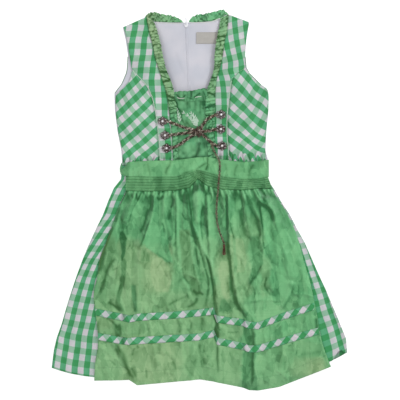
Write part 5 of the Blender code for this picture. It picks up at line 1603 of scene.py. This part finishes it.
def streaks(u, depth, across):
    """Long low folds that fan out with the fall of the cloth, steep on one side."""
    rng = random.Random(41)
    total = np.zeros_like(u)
    for _ in range(STREAKS):
        centre = rng.uniform(0.02, 0.98)
        start = rng.uniform(-20, 300)
        length = rng.uniform(60, 200)
        drift = rng.uniform(-0.03, 0.03)
        rise = rng.uniform(0.8, 2.6) * mix(1.0, 0.6, min(1.0, max(0.0, start / 300)))
        widths = [rng.uniform(1.8, 4.0), rng.uniform(4.0, 10.0)]
        if rng.random() < 0.3:
            widths.reverse()
        middle = centre + drift * (depth - start) / 100 + 0.006 * np.sin(depth / 31 + 9 * centre)
        away = (u - middle) * across
        body = np.exp(-(np.abs(away) / np.where(away < 0, widths[0], widths[1])) ** 1.25)
        ends = smooth(start, start + 25, depth) * smooth(start + length, start + 0.6 * length, depth)
        total += rise * body * ends
    return total


def apron_y(x, top_y, v):
    """y on the apron, whose shares v run from the yoke to the upper trim, the lower trim and the hem."""
    upper, lower, hem = (lookup(APRON_FALL, x, k) for k in (1, 2, 3))
    first, second = APRON_SHARES[1:3]
    return np.where(v < first, mix(top_y, upper, v / first),
                    np.where(v < second, mix(upper, lower, (v - first) / (second - first)),
                             mix(lower, hem, (v - second) / (1 - second))))


def apron_sides(y):
    """Left and right edge of the apron at a height."""
    return along(APRON_SIDES, ramp(APRON_TOP_Y, APRON_HEM_Y, y) * (len(APRON_SIDES) - 1))


def apron_xy(u, v):
    """Place on the apron, and how far below the yoke it is."""
    top_x = mix(*YOKE_BASE_X, u)
    top_y = lookup(WAIST, top_x, 3) - REST_GAP
    sides = apron_sides(apron_y(mix(*APRON_SIDES[-1], u), APRON_TOP_Y, v))
    x = mix(sides[:, 0], sides[:, 1], u)
    y = apron_y(x, top_y, v)
    return x, y, top_y - y


CRUMPLE_LIST = crumple_list()


def panel_share(x, y, rows):
    """1 inside a facet, 0 outside it."""
    left = lookup(rows, y, 1) + 1.2 * lumps(x, y, 9, 79)
    right = lookup(rows, y, 2) + 1.2 * lumps(x, y, 9, 80)
    ends = smooth(rows[0][0] + 2, rows[0][0] - 5, y) * smooth(rows[-1][0] - 2, rows[-1][0] + 5, y)
    return smooth(-1.6, 1.6, np.minimum(x - left, right - x)) * ends


def broad_tone(x, y, depth):
    """Painted light and shade of whole parts of the apron: darker high up and on the right, lighter low on
    the right, and the broad areas that face another way.
    """
    tone = 0.10 - 0.34 * smooth(150, 60, depth) - 0.10 * smooth(-40, 60, x)
    tone = tone - 0.16 * smooth(-60, -110, y) * smooth(-290, -250, y) * smooth(140, 80, x)
    tone = tone + 0.14 * smooth(-260, -300, y) * smooth(-80, 20, x)
    wobble = 1 + 0.22 * lumps(x, y, 30, 73) + 0.12 * lumps(x, y, 9, 78)
    for centre_x, centre_y, half_x, half_y, shade in AREAS:
        off = np.hypot((x - centre_x) / half_x, (y - centre_y) / half_y) * wobble
        tone = tone + shade * smooth(1.3, 0.8, off)
    return tone


def apron_surface(u, v):
    """Place, underside, tone and yellow of the apron; the tone is painted light and shade of its folds,
    creases, puckers and facets.
    """
    x, y, depth = apron_xy(u, v)
    across = lookup(APRON_ACROSS, y, 1)
    big, big_tone = fold_field(x, y, FOLDS)
    small, small_tone = fold_field(x, y, CRUMPLE_LIST, 1.1)
    fine = crease_field(x, y, CREASES)
    crowd = puckers(u, depth, across)
    rim = from_edge(u) * across
    calm = smooth(0, 9, rim)
    settle = smooth(0, 60, y - lookup(APRON_FALL, x, 3))
    soft = 0.9 + 0.7 * lumps(x, y, 40, 71) + 0.35 * lumps(x, y, 15, 72)
    small = small * mix(0.55, 1.0, smooth(60, 200, depth))
    stands = 0.8 * big * mix(0.55, 1.0, settle) + 0.9 * small + soft
    rise = crowd + 0.7 * streaks(u, depth, across) + stands * smooth(0, 30, depth)
    rise = np.maximum(rise + CREASE_RISE * fine, 0.0) * mix(0.3, 1.0, calm)
    z = apron_z(x, y) + rise + 0.7 * bell(rim - 3, 2.5)
    tone = 0.25 * big_tone + 0.5 * small_tone + mix(0.85, 1.0, smooth(160, 80, depth)) * fine
    # painted light on the puckers' ridges and painted shade between them, near the shirring
    tone = tone + 1.4 * (np.minimum(crowd, 2.4) / 2.4 - 0.58) * smooth(34, 12, depth)
    tone = tone + broad_tone(x, y, depth)
    turned = smooth(6, 3, u * across) * smooth(-60, -90, y) * smooth(-190, -150, y)
    tone = tone - 0.7 * turned
    yellow = yellow_field(x, y)
    for shade, share, rows in PANELS:
        inside = panel_share(x, y, rows)
        tone = tone + shade * inside
        yellow = mix(yellow, share, 0.8 * inside)
    # yellower where the painted tone is lighter: painted sheen
    yellow = yellow + 0.15 * np.clip(tone, -1.2, 0.8) + 0.3 * turned
    return x, y, z, tone, yellow


def slope_light(x, y, z, columns, rows):
    """How far each place of a grid faces up and to the right, the side the painted light comes from."""
    x, y, z = (part.reshape(rows + 1, columns + 1) for part in (x, y, z))
    to_right = np.gradient(z, axis=1) / np.gradient(x, axis=1)
    to_neck = np.gradient(z, axis=0) / np.gradient(y, axis=0)
    return np.tanh(-(0.85 * to_right + 0.4 * to_neck)).ravel()


def apron_skirt():
    made_of = {}

    def place(u, v):
        x, y, z, tone, yellow = apron_surface(u, v)
        # the tone gets painted light on the slopes that face up and to the right, and painted shade on the
        # others
        made_of["tone"] = tone + 1.1 * slope_light(x, y, z - apron_z(x, y), *APRON_GRID)
        made_of["shot"] = yellow
        return x, y, z
    made = cloth("apron_skirt_cloth", *APRON_GRID, place, 0.8, taffeta, "taffeta",
                 tone=lambda u, v, x, y: made_of["tone"], shot=lambda u, v, x, y: made_of["shot"])
    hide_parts("apron_skirt")


def apron_rim(v):
    """Left and right edge of the apron at a share of its length."""
    ends = [apron_y(np.array([side]), APRON_TOP_Y, np.array([v])) for side in APRON_SIDES[-1]]
    return [apron_sides(end)[0][k] for k, end in enumerate(ends)]


def apron_at(x, drop, level):
    """A point of the apron this far below a level of APRON_FALL, on its underside."""
    start, end = APRON_SHARES[level:level + 2]
    v = start + (end - start) * drop / (lookup(APRON_FALL, x, level) - lookup(APRON_FALL, x, level + 1))
    u = ramp(*apron_rim(start), x)
    for _ in range(4):
        sides = apron_sides(apron_y(mix(*APRON_SIDES[-1], u), APRON_TOP_Y, v))
        u = np.clip((x - sides[:, 0]) / (sides[:, 1] - sides[:, 0]), 0, 1)
    return apron_surface(u, v)


# the folds across the trims are painted as shade only, with no height
TRIM_CREASES = ((37, 4.0), (105, 4.0), (-183, 5))        # x and half width of the folds across both trims
TRIM_OVER = 0.95                         # from the apron's underside to a trim's or a stitch's
HEM_DEPTH = 31.0                         # from the hem up to its line of stitches


def apron_trims():
    for name, level, whites in (("upper", 1, UPPER_WHITES), ("lower", 2, LOWER_WHITES)):
        left, right = apron_rim(APRON_SHARES[level])

        def place(u, v, level=level, left=left, right=right):
            x, y, z = apron_at(mix(left + 0.5, right - 0.5, u), v * TRIM_WIDTH, level)[:3]
            return x, y, z + TRIM_OVER + 0.45 * smooth(0, 0.2, from_edge(v))

        def pattern(u, v, x, y, whites=whites, level=level):
            order = np.interp(x, whites, range(len(whites)))
            slant = (v - 0.5) * TRIM_WIDTH / TRIM_REPEAT
            return order + slant, order - slant + lookup(TRIM_SHIFT, x, level)

        def tone(u, v, x, y):
            # painted shade in the folds and along both edges, and random patches
            crease = sum(bell(x - at, width) for at, width in TRIM_CREASES)
            return -1.2 * crease - 0.5 * bell(from_edge(v), 0.09) + 0.2 * lumps(x, y, 16, 81)
        made = cloth("apron_trim_" + name + "_cloth", 360, 8, place, 0.7, gingham, "gingham",
                     pattern=pattern, tone=tone)
        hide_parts("apron_trim_" + name)


APRON_STITCH = 0.26                      # radius of a stitch on the apron
SHIRR_RIPPLES = 112


def apron_hem_stitching():
    bm = bmesh.new()
    x = np.linspace(-244, 306, 260)
    drop = lookup(APRON_FALL, x, 2) - lookup(APRON_FALL, x, 3) - HEM_DEPTH
    x, y, z = apron_at(x, drop, 2)[:3]
    stitches(bm, zip(x, y, z + TRIM_OVER), 3.4, APRON_STITCH)
    solid("apron_hem_stitching", bm, green_thread)


def yoke_level(x, y):
    """Level that the shirred yoke rests on."""
    return np.maximum(band_under(x, y), skirt_front_z(x, y, 1.0) + CLOTH + LAYER_GAP)


def shirr_ripples(u, x, y):
    """The fine upright ripples of the shirring, -1 to 1."""
    return np.sin(u * 2 * math.pi * SHIRR_RIPPLES + 1.2 * lumps(x, y, 6, 91))


def apron_yoke():
    def place(u, v):
        top_x, base_x = mix(*YOKE_X, u), mix(*YOKE_BASE_X, u)
        x = mix(top_x, base_x, v)
        y = mix(lookup(WAIST, top_x, 2) - REST_GAP, lookup(WAIST, base_x, 3) + REST_GAP, v)
        groove = np.abs(np.sin(v * SHIRR_ROWS * math.pi)) ** 0.55
        tiny = 0.5 + 0.5 * shirr_ripples(u, x, y)
        z = yoke_level(x, y) + (SHIRR_PUFF + 0.2) * groove + 0.45 * tiny * groove + 0.3 * lumps(x, y, 12, 92)
        return x, y, z - 0.8 * smooth(0.88, 1.0, v) + 0.4

    def tone(u, v, x, y):
        # painted shade: darker all over, at the peak and in the shirring's grooves, less where pressed flat,
        # with painted light and shade on the ripples and random patches
        row = v * SHIRR_ROWS
        groove = np.abs(np.sin(row * math.pi)) + smooth(SHIRR_ROWS - 0.5, SHIRR_ROWS - 0.1, row)
        peak = -0.5 * bell(x + 3, 16)
        pressed = smooth(-20, -90, x) * smooth(1.2, 2.4, row)
        clear = mix(0.50, 0.10, pressed) * mix(1.0, 0.45, bell(x - 22, 14))
        shade = -0.42 - clear * bell(groove, 0.25) + 0.10 * shirr_ripples(u, x, y) * (1 - pressed)
        return shade + 0.16 * lumps(x, y, 20, 93) + peak
    made = cloth("apron_yoke_cloth", 672, 50, place, 0.8, taffeta, "taffeta", tone=tone,
                 shot=lambda u, v, x, y: 0.18 + 0.0 * u)
    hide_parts("apron_yoke")
    bm = bmesh.new()
    for k in range(SHIRR_ROWS):
        u = np.linspace(0.004, 0.996, 150)
        x, y, z = place(u, np.full_like(u, min(max(k / SHIRR_ROWS, 0.02), 0.98)))
        stitches(bm, zip(x, y, z + 0.85), 3.0, APRON_STITCH)
    solid("yoke_stitching", bm, green_thread)


# creases of the waistband, with painted shade and highlight as the apron's finer ones
BAND_CREASES = [
    ([(-70, 96), (-73, 82), (-80, 73), (-83, 56)], 3.6, -0.9),
    ([(-64, 90), (-67, 76), (-74, 62)], 4.0, 0.4),
    ([(-126, 94), (-124, 75), (-120, 65), (-120, 54)], 2.8, -0.4), ([(-160, 75), (-160, 56)], 1.8, -0.4),
    ([(-148, 68), (-148, 54)], 1.8, -0.4), ([(17, 103), (18, 82), (12, 70)], 2.8, -0.9),
    ([(15, 89), (1, 80), (-11, 72), (-30, 66), (-50, 60)], 2.6, -0.9),
    ([(10, 94), (-6, 84), (-24, 74)], 4.0, 0.3), ([(-2, 74), (-20, 68), (-44, 58)], 2.0, 0.35),
    ([(60, 90), (64, 70), (60, 56)], 2.4, -0.5), ([(91, 86), (84, 73), (82, 54)], 2.8, -0.5),
    ([(129, 86), (120, 73), (115, 54)], 3.2, -0.6), ([(-46, 80), (-36, 74)], 3.0, -0.3),
    ([(36, 84), (40, 70)], 3.0, 0.2), ([(146, 92), (142, 60)], 4.0, -0.2),
]


# the band's left end is rounded: share down, how far in it starts
BAND_END = [(0.0, 14.0), (0.2, 8.0), (0.45, 1.0), (0.75, 5.0), (1.0, 14.0)]
BACK_BAND_ROUND = 6.0                    # how far the back band's left corners are in


def band_station(u):
    """x across the band and how far it has risen; its ends turn down round the sides."""
    low_x, high_x = BAND_X
    quarter = math.pi / 2 * BAND_TURN
    length = 2 * quarter + (high_x - low_x - 2 * BAND_TURN)
    s = u * length
    left = np.clip(s / quarter, 0, 1) * math.pi / 2
    right = np.clip((length - s) / quarter, 0, 1) * math.pi / 2
    x = np.where(s < quarter, low_x + BAND_TURN * (1 - np.cos(left)),
                 np.where(s > length - quarter, high_x - BAND_TURN * (1 - np.cos(right)),
                          low_x + BAND_TURN + s - quarter))
    return x, np.sin(left) * np.sin(right)


def apron_band():
    low_x, high_x = BAND_X

    def place(u, v):
        x, risen = band_station(u)
        y = mix(lookup(WAIST, x, 1), lookup(WAIST, x, 2), v)
        inner = np.clip(x, low_x + BAND_TURN, high_x - BAND_TURN)
        x = x + lookup(BAND_END, v, 1) * smooth(low_x + 26, low_x, x)
        height = CREASE_RISE * crease_field(x, y, BAND_CREASES)
        puff = (0.95 + 0.3 * lumps(x, y, 24, 95) + height) * smooth(0, 0.10, v) * smooth(1, 0.90, v)
        return x, y, (band_under(inner, y) + puff) * risen

    def tone(u, v, x, y):
        # painted shade on the ends that turn down, along both edges and in the creases, painted highlight on
        # the creases' ridges, and random patches
        ends = -0.45 * smooth(-164, -176, x) - 0.3 * smooth(152, 164, x)
        creased = 0.22 + 1.1 * crease_field(x, y, BAND_CREASES) + ends
        return creased + 0.2 * lumps(x, y, 18, 97) - 0.35 * bell(from_edge(v), 0.05)
    made = cloth("apron_band_cloth", 260, 30, place, 1.2, taffeta, "taffeta", tone=tone,
                 shot=lambda u, v, x, y: 0.18 + 0.0 * u)
    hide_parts("apron_band")

    def back(u, v):
        start = low_x + REST_GAP + BACK_BAND_ROUND * (2 * v - 1) ** 2
        return mix(start, high_x - REST_GAP, u), mix(*BACK_BAND_Y, 1 - v), 0.0 * u
    made = cloth("apron_back_band_cloth", 120, 12, back, 1.0, taffeta, "taffeta",
                 tone=lambda u, v, x, y: 0.1 * lumps(x, y, 20, 96))
    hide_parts("apron_back_band")


# ---- hooks and chain -------------------------------------------------------------------------------
def front_top(x, y):
    """Highest level at a place on the bodice front."""
    for table in (LEFT_FRONT, RIGHT_FRONT):
        lane = [(row[1][1], row[1][0], row[2][0]) for row in table[INSERT_ROW:]]
        seam = float(lookup(lane, y, 1))
        across = (x - seam) / (float(lookup(lane, y, 2)) - seam)
        if -0.1 < across < 1.1:
            wave_height = mix(*FRILL_WAVE, min(max(across, 0), 1))
            return float(bodice_z(x, y)) + FRONT_CLOTH + REST_GAP + wave_height + CLOTH
    return float(bodice_z(x, y)) + FRONT_CLOTH + 0.4


def rest_level(level_at, x, y, reach):
    """Highest level within a square around a place."""
    return max(level_at(x + dx, y + dy) for dx in (-reach, 0, reach) for dy in (-reach, 0, reach))


FLAT = ((1, 0, 0), (0, 0, 1))            # a ring lying flat: the way of its long radius, its axis
HOOK_WIRE = 0.75
HOOK_PLATE = 9.6
PETAL_TURNS = [math.radians(60 * k + 30) for k in range(6)]
PETAL_REACH = 8.1                        # from the flower's middle to a petal's
GRAIN_REACH = 9.4                        # and to the grains between the petals


def hooks():
    """Flower hooks: a dark plate, wire petals round a wire ring, beads, and the eye that faces the chain."""
    for name, (x0, y0) in HOOKS.items():
        inward = -1.0 if x0 > 0 else 1.0
        base = rest_level(bodice_z, x0, y0, HOOK_EYE) + FRONT_CLOTH + REST_GAP + 0.3

        def spot(reach, turn, height, x0=x0, y0=y0, base=base):
            return x0 + reach * math.cos(turn), y0 + reach * math.sin(turn), base + height
        bm = bmesh.new()
        ball(bm, (x0, y0, base + 0.6), (HOOK_PLATE, HOOK_PLATE, 0.9), 0, 3)
        ball(bm, (x0, y0, base + 1.0), (4.9, 4.9, 1.4), 0, 3)
        solid(name + "_plate", bm, tarnish, angle=60)
        bm = bmesh.new()
        ring(bm, (x0, y0, base + 1.6), *FLAT, 4.6, 4.6, HOOK_WIRE, 24, 6)
        for turn in PETAL_TURNS:
            way = (math.cos(turn), math.sin(turn), 0)
            ring(bm, spot(PETAL_REACH, turn, 1.2), way, (0, 0, 1), 3.1, 2.9, HOOK_WIRE, 16, 6)
            ball(bm, spot(GRAIN_REACH, turn + math.radians(30), 1.3), (0.9, 0.9, 0.8), 0, 1)
        ring(bm, (x0 + inward * 11.0, y0, base + 1.3), *FLAT, 2.2, 2.6, HOOK_WIRE, 16, 6)
        ring(bm, (x0 - inward * 10.0, y0, base + 1.1), *FLAT, 1.6, 2.0, 0.55, 14, 6)
        made = solid(name + "_flower", bm, pewter, angle=60)
        # the dome and the petals' beads are near-white: a painted highlight
        bm = bmesh.new()
        ball(bm, (x0, y0, base + 2.4), (2.9, 2.9, 2.3), 0, 3)
        for turn in PETAL_TURNS:
            ball(bm, spot(PETAL_REACH, turn, 1.3), (1.3, 1.1, 0.8), turn, 1)
        solid(name + "_beads", bm, highlight_pewter, angle=60)
        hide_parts(name)


def chain_links(bm, points, pitch=3.3, half_long=2.5, half_wide=1.65, wire=0.55, twist=0.0, start=0.0):
    """Links along a line, each turned a quarter from the one before, with a slow twist besides."""
    points = [Vector(point) for point in points]
    run = start
    count = 0
    for first, second in zip(points, points[1:]):
        span = (second - first).length
        while run < span:
            middle = first.lerp(second, run / span)
            ahead = (second - first).normalized()
            side = ahead.cross(Vector((0, 0, 1))).normalized()
            up = side.cross(ahead)
            turn = math.radians(38 + 90 * (count % 2)) + twist * count
            axis = up * math.cos(turn) + side * math.sin(turn)
            ring(bm, middle, ahead, axis, half_long, half_wide, wire, 10, 5)
            run += pitch
            count += 1
        run -= span


def fine_line(points, step=1.2):
    """Smooth line through points, with points close together."""
    count = max(8, int(sum(math.dist(a, b) for a, b in zip(points, points[1:])) / step))
    return [tuple(p) for p in along(points, np.linspace(0, len(points) - 1, count))]


def twisted_pair(pair, points, gap=2.1, turn_length=17.0, seed=0.0):
    """Two chains wound round each other along a line, a bright one and a dark one: painted light and painted
    shade on the same chain metal.
    """
    line = [Vector(p) for p in fine_line(points)]
    last = len(line) - 1
    run = 0.0
    strands = ([], [])
    for k, point in enumerate(line):
        ahead = (line[min(k + 1, last)] - line[max(k - 1, 0)]).normalized()
        side = ahead.cross(Vector((0, 0, 1))).normalized()
        up = side.cross(ahead)
        turn = 2 * math.pi * run / turn_length + seed
        offset = side * (gap * math.cos(turn)) + up * (0.55 * gap * math.sin(turn))
        strands[0].append(point + offset)
        strands[1].append(point - offset)
        run += (line[min(k + 1, last)] - point).length
    for index, strand in enumerate(strands):
        chain_links(pair[index], strand, 4.3, 3.2, 2.1, 0.72, start=2.0 * index)


LACE_START = 1.6                         # how far inside its hook's eye a run starts
LACE_SINK = 0.2                          # how far its links sink below the tube that stands for them


def lace_route(name):
    """A run from its hook's eye to the crossing, lying on the front."""
    hook_x, hook_y = HOOKS["hook_" + name]
    reach = HOOK_EYE + EYE_GAP
    start_x = hook_x + (reach if hook_x < KNOT[0] else -reach) - math.copysign(LACE_START, KNOT[0] - hook_x)
    spots = fine_line([(start_x, hook_y)] + LACE[name], 4.0)
    lift = REST_GAP + CHAIN / 2 - LACE_SINK
    return [(x, y, rest_level(front_top, x, y, CHAIN / 2) + lift) for x, y in spots]


# the runs that go on into each other across the crossing, and the level at which they cross
CROSSINGS = (("left_1", "right_3", 1.6), ("left_2", "right_2", 4.1), ("left_3", "right_1", 6.3))
# the loops that tie them: half size across and along, level, turn
KNOT_LOOPS = ((8.5, 9.0, 5.4, 0.3), (5.5, 5.0, 7.0, 1.2), (4.5, 13.0, 6.2, 2.2))


def lacing():
    routes = {name: lace_route(name) for name in LACE}
    for k, (name, route) in enumerate(routes.items()):
        pair = (bmesh.new(), bmesh.new())
        twisted_pair(pair, route, seed=0.8 * k)
        made = solid("lace_chain_" + name, pair[0], chain_painted_light, angle=60)
        solid("lace_chain_painted_shade_" + name, pair[1], chain_painted_shade, angle=60)
        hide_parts("lace_" + name)
    base = float(bodice_z(*KNOT)) + FRONT_CLOTH + REST_GAP
    pair = (bmesh.new(), bmesh.new())
    for k, (left, right, level) in enumerate(CROSSINGS):
        start = Vector(routes[left][-1])
        end = Vector(routes[right][-1])
        middle = Vector((KNOT[0] + 2.0 * (k - 1), KNOT[1] + 1.5 * (1 - k), base + level))
        inner = [start.lerp(middle, 0.55), middle, end.lerp(middle, 0.55)]
        inner[0].z = mix(start.z, base + level, 0.75)
        inner[2].z = mix(end.z, base + level, 0.75)
        twisted_pair(pair, [tuple(point) for point in (start, *inner, end)], 2.1, 13.0, 1.1 * k)
    # the knot's loops use the chain with painted shade
    for across, along_y, level, turn in KNOT_LOOPS:
        loop = [(KNOT[0] + across * math.cos(a + turn), KNOT[1] + along_y * math.sin(a + turn), base + level)
                for a in np.linspace(0, 1.75 * math.pi, 9)]
        chain_links(pair[1], fine_line(loop), 3.0, 2.3, 1.5, 0.62)
    made = solid("lace_crossing_chain", pair[0], chain_painted_light, angle=60)
    solid("lace_crossing_chain_painted_shade", pair[1], chain_painted_shade, angle=60)
    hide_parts("lace_crossing")


# the largest folds of the solid apron: line from x, y to x, y, half width, height
SOLID_FOLDS = [
    (-8, -70, 24, -430, 15, 6.5), (52, -60, 50, -430, 14, 5.5), (120, -240, 138, -450, 17, 5.0),
    (-86, -40, -190, -250, 20, 6.0), (-143, -40, -215, -170, 17, 4.5), (105, -40, 200, -240, 20, 6.0),
    (165, 0, 250, -170, 18, 5.0), (-55, -10, -40, -150, 13, 4.5), (-150, -265, -158, -440, 15, 4.0),
    (215, -240, 262, -400, 18, 4.0), (-110, -250, -95, -430, 16, 3.5),
]


def fold_height(x, y):
    """Height of the solids' largest apron folds, for the chain's rest."""
    total = 0.0
    for x0, y0, x1, y1, half_width, height in SOLID_FOLDS:
        dx, dy = x1 - x0, y1 - y0
        length = math.hypot(dx, dy)
        t = ((x - x0) * dx + (y - y0) * dy) / length ** 2
        away = ((x - x0) * dy - (y - y0) * dx) / length
        ends = float(smooth(-0.12, 0.25, t)) * float(smooth(1.2, 0.85, t))
        total += height * ends * math.exp(-(away / half_width) ** 2)
    return total


APRON_GATHER = (4.2, 0.7)
APRON_GATHER_END_Y = -200


def apron_top(x, y):
    """Level that the chain rests on, from the bodice over the waistband to the apron, as in the solids."""
    if y > float(lookup(WAIST, x, 1)) + 1:
        return front_top(x, y)
    if y > float(lookup(WAIST, x, 2)):
        return float(band_under(x, y)) + 1.5
    if y > float(lookup(WAIST, x, 3)):
        return float(yoke_level(x, y)) + 1.4 + SHIRR_PUFF
    gather = float(mix(*APRON_GATHER, ramp(APRON_TOP_Y, APRON_GATHER_END_Y, y) ** 0.6))
    return float(apron_z(x, y)) + gather + fold_height(x, y) + CLOTH


END_STRANDS = 5                          # the tassel of short chains at the tail's end


def end_piece(x0, y0, level):
    """Ring, bead and tassel at the end of the chain."""
    half = END_SIZE[1] / 2
    bm = bmesh.new()
    ring(bm, (x0 - 0.6, y0 + half - 1.6, level + 3.0), (0.2, 1, 0), (0.6, 0, 1), 3.0, 2.4, 0.7, 14, 6)
    ball(bm, (x0, y0 + half - 6.0, level + 3.0), (3.6, 3.0, 2.6), 0.4, 2)
    ring(bm, (x0, y0 + half - 9.2, level + 2.8), (1, 0, 0), (0, 1, 0.1), 2.2, 2.2, 0.7, 14, 6)
    for k in range(END_STRANDS):
        sway = (k - 2) * 1.15
        strand = [(x0 + sway * 0.3, y0 + half - 10, level + 2.6), (x0 + sway * 0.9, y0 + 0.5, level + 2.2),
                  (x0 + sway * 1.25, y0 - half * 0.62 - (k % 2) * 2.0, level + 1.6)]
        chain_links(bm, fine_line(strand), 2.7, 1.9, 1.15, 0.48, start=0.5 * k)
        ball(bm, (strand[-1][0], strand[-1][1] - 1.8, level + 1.6), (1.3, 1.7, 1.3), 0, 2)
    end = solid("chain_end_piece", bm, copper, angle=60)
    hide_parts("chain_end")
    return end


def chain_tail():
    plan = along(TAIL_PLAN, np.linspace(0, len(TAIL_PLAN) - 1, TAIL_POINTS))
    levels = [rest_level(apron_top, x, y, CHAIN / 2) for x, y in plan]
    eased = [max(levels[max(k - 1, 0):k + 2]) for k in range(TAIL_POINTS)]
    route = [(x, y, z + REST_GAP + CHAIN / 2) for (x, y), z in zip(plan, eased)]
    bm = bmesh.new()
    chain_links(bm, fine_line(route), 4.0, 3.0, 2.3, 0.75, twist=0.35)
    made = solid("chain_tail_links", bm, tail_metal, angle=60)
    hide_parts("chain_tail")
    x0, y0 = END_CENTRE
    end = end_piece(x0, y0, max(apron_top(x0, y0 + dy) for dy in (-6, -3, 0, 3, 6)) + REST_GAP)


# ---- zip and label ---------------------------------------------------------------------------------
# half section of the covered zip, from its outer edge over a lip of lining to the middle: x, height
ZIP_LIP = [(-2.5, 0.0), (-2.3, 0.55), (-0.45, 0.75), (0.0, 0.25)]
ZIP_STITCH = 0.22


def zip_level(y):
    over_skirt = skirt_back_top(y) + REST_GAP if y < WAIST_Y + 20 else 0.0
    return max(LINING_Z + THIN_CLOTH + REST_GAP + float(back_lift(y)), float(over_skirt))


def zip_line():
    """Covered zip down the centre back: two lips of lining that meet, and a line of stitches on each side."""
    section = ZIP_LIP + [(-x, z) for x, z in ZIP_LIP[-2::-1]]
    bm = bmesh.new()
    rings = []
    for y in np.linspace(*ZIP_CHAIN_Y, 240):
        x = float(centre_back_x(y)) + 0.048 * math.sin(y / 7.0)
        rings.append([((x + a) * MM, y * MM, (zip_level(y) + b) * MM) for a, b in section])
    loop_surface(bm, rings, closed=False, caps=True)
    made = solid("zip_placket", bm, lining)
    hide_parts("zip_chain")
    bm = bmesh.new()
    for way in (-1, 1):
        line = []
        for y in np.linspace(416, 262, 60):
            x = float(centre_back_x(y)) + way * 8.5
            line.append((x, y, LINING_Z + float(lining_swell(x, y)) + 0.82))
        stitches(bm, line, 2.8, ZIP_STITCH)
    solid("zip_stitching", bm, thread_finish("lining_thread", (206, 206, 212), (176, 178, 188)))


# right half of the slider's outline from the neck end down, and its sections: share of the outline, height
SLIDER_OUTLINE = [(0, 6.5), (3.2, 4.4), (4.8, 1.2), (4.2, -2.6), (2.4, -5.6), (0, -6.5)]
SLIDER_SECTIONS = ((0.86, 0.0), (1.0, 0.35), (1.0, 0.95), (0.82, 1.4), (0.5, 1.55))
# half widths of the tab from its ring to its end, and its section: share of the half width, height
TAB_WIDTHS = (1.1, 1.5, 1.7, 1.8, 1.9, 2.0, 2.1, 2.2, 2.1, 1.2)
TAB_SECTION = ((-1, 0), (-0.7, 0.8), (0, 1), (0.7, 0.8), (1, 0), (0.7, -0.8), (0, -1), (-0.7, -0.8))


def zip_slider():
    """Slider: a rounded diamond with a bridge for the tab, and the slim tab that hangs on the bridge."""
    top = SLIDER_Z + SLIDER_THICK
    bm = bmesh.new()
    outline = SLIDER_OUTLINE + [(-x, y) for x, y in SLIDER_OUTLINE[-2:0:-1]]
    outline = along(outline + outline[:1], np.linspace(0, len(outline), 31))[:-1]
    rings = [[((ZIP_X + a * share) * MM, (SLIDER_Y + b * share) * MM, (SLIDER_Z + height) * MM)
              for a, b in outline] for share, height in SLIDER_SECTIONS]
    loop_surface(bm, rings, closed=False, caps=True)
    bridge = [(ZIP_X, ZIP_AXIS_Y + 3.2 * math.cos(a), top - 0.3 + (ARCH_CLEAR + 0.9) * math.sin(a))
              for a in np.linspace(0, math.pi, 13)]
    thread(bm, bridge, 0.55, 8)
    made = solid("zip_slider_body", bm, white_plastic, angle=35)
    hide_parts("zip_slider")
    axis_z = top + ARCH_CLEAR / 2
    bm = bmesh.new()
    ring(bm, (ZIP_X, ZIP_AXIS_Y + 2.3, axis_z), (0, 1, 0), (0, 0, 1), 2.5, 1.9, 0.5, 20, 8)
    rings = []
    for half, y in zip(TAB_WIDTHS, np.linspace(4.6, TAB_REACH - 0.6, len(TAB_WIDTHS)) + ZIP_AXIS_Y):
        rings.append([((ZIP_X + a * half) * MM, y * MM, (axis_z + b * 0.5) * MM) for a, b in TAB_SECTION])
    loop_surface(bm, rings, closed=False, caps=True)
    tab = solid("zip_tab_pull", bm, white_plastic, body="zip_tab", angle=40)
    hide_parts("zip_tab")


def neck_label():
    def place(u, v):
        lift = 0.25 * smooth(0.10, 0.03, from_edge(u)) + 0.15 * np.sin(5 * u + 2) ** 2
        return mix(*LABEL_X, u), mix(*LABEL_Y, 1 - v), LINING_Z + THIN_CLOTH + REST_GAP + lift
    made = cloth("neck_label", 44, 24, place, 0.5, label_cloth, "label_cloth",
                 tone=lambda u, v, x, y: 0.0 * u)
    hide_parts("label")


FLOOR_SIZE = 24.0
FLOOR_Z = -0.3
FLOOR_GLOW = 0.82                        # lets the floor come out as white as the page
SKY = 0.50
# lamps that look at the dress's middle: place in metres, watts, size
LAMPS = {"key": ((1.30, 1.05, 1.15), 18.3, 0.6), "fill": ((-1.6, 0.2, 1.5), 11.0, 1.2),
         "front": ((-0.1, -1.7, 1.6), 7.0, 1.2)}


# ---- the room --------------------------------------------------------------------------------------
def floor_and_light():
    f = Finish("floor", 0.9)
    f.colour(f.blend(f.speckle(3, 2), (0.38, 0.38, 0.38, 1), (0.40, 0.40, 0.40, 1)))
    f.shader.inputs["Emission Color"].default_value = (1, 1, 1, 1)
    f.shader.inputs["Emission Strength"].default_value = FLOOR_GLOW
    bpy.ops.mesh.primitive_plane_add(size=FLOOR_SIZE, location=(0, 0, FLOOR_Z * MM))
    floor = bpy.context.object
    floor.name = "floor"
    floor.data.materials.append(f.material)
    world = bpy.data.worlds.new("world")
    bpy.context.scene.world = world
    world.use_nodes = True
    background = world.node_tree.nodes["Background"]
    background.inputs["Color"].default_value = (1, 1, 1, 1)
    background.inputs["Strength"].default_value = SKY
    for name, (place, power, size) in LAMPS.items():
        lamp = bpy.data.lights.new(name, "AREA")
        lamp.energy = power
        lamp.size = size
        made = bpy.data.objects.new(name, lamp)
        made.location = place
        made.rotation_euler = (-Vector(place)).to_track_quat("-Z", "Y").to_euler()
        bpy.context.scene.collection.objects.link(made)


floor_and_light()
chain_tail()
bodice_back()
bodice_front()
bodice_seams()
insert_piece()
insert_frill()
insert_piping()
embroidery()
front_frills()
back_frills()
skirt()
apron_skirt()
apron_trims()
apron_hem_stitching()
apron_yoke()
apron_band()
hooks()
lacing()
zip_line()
zip_slider()
neck_label()
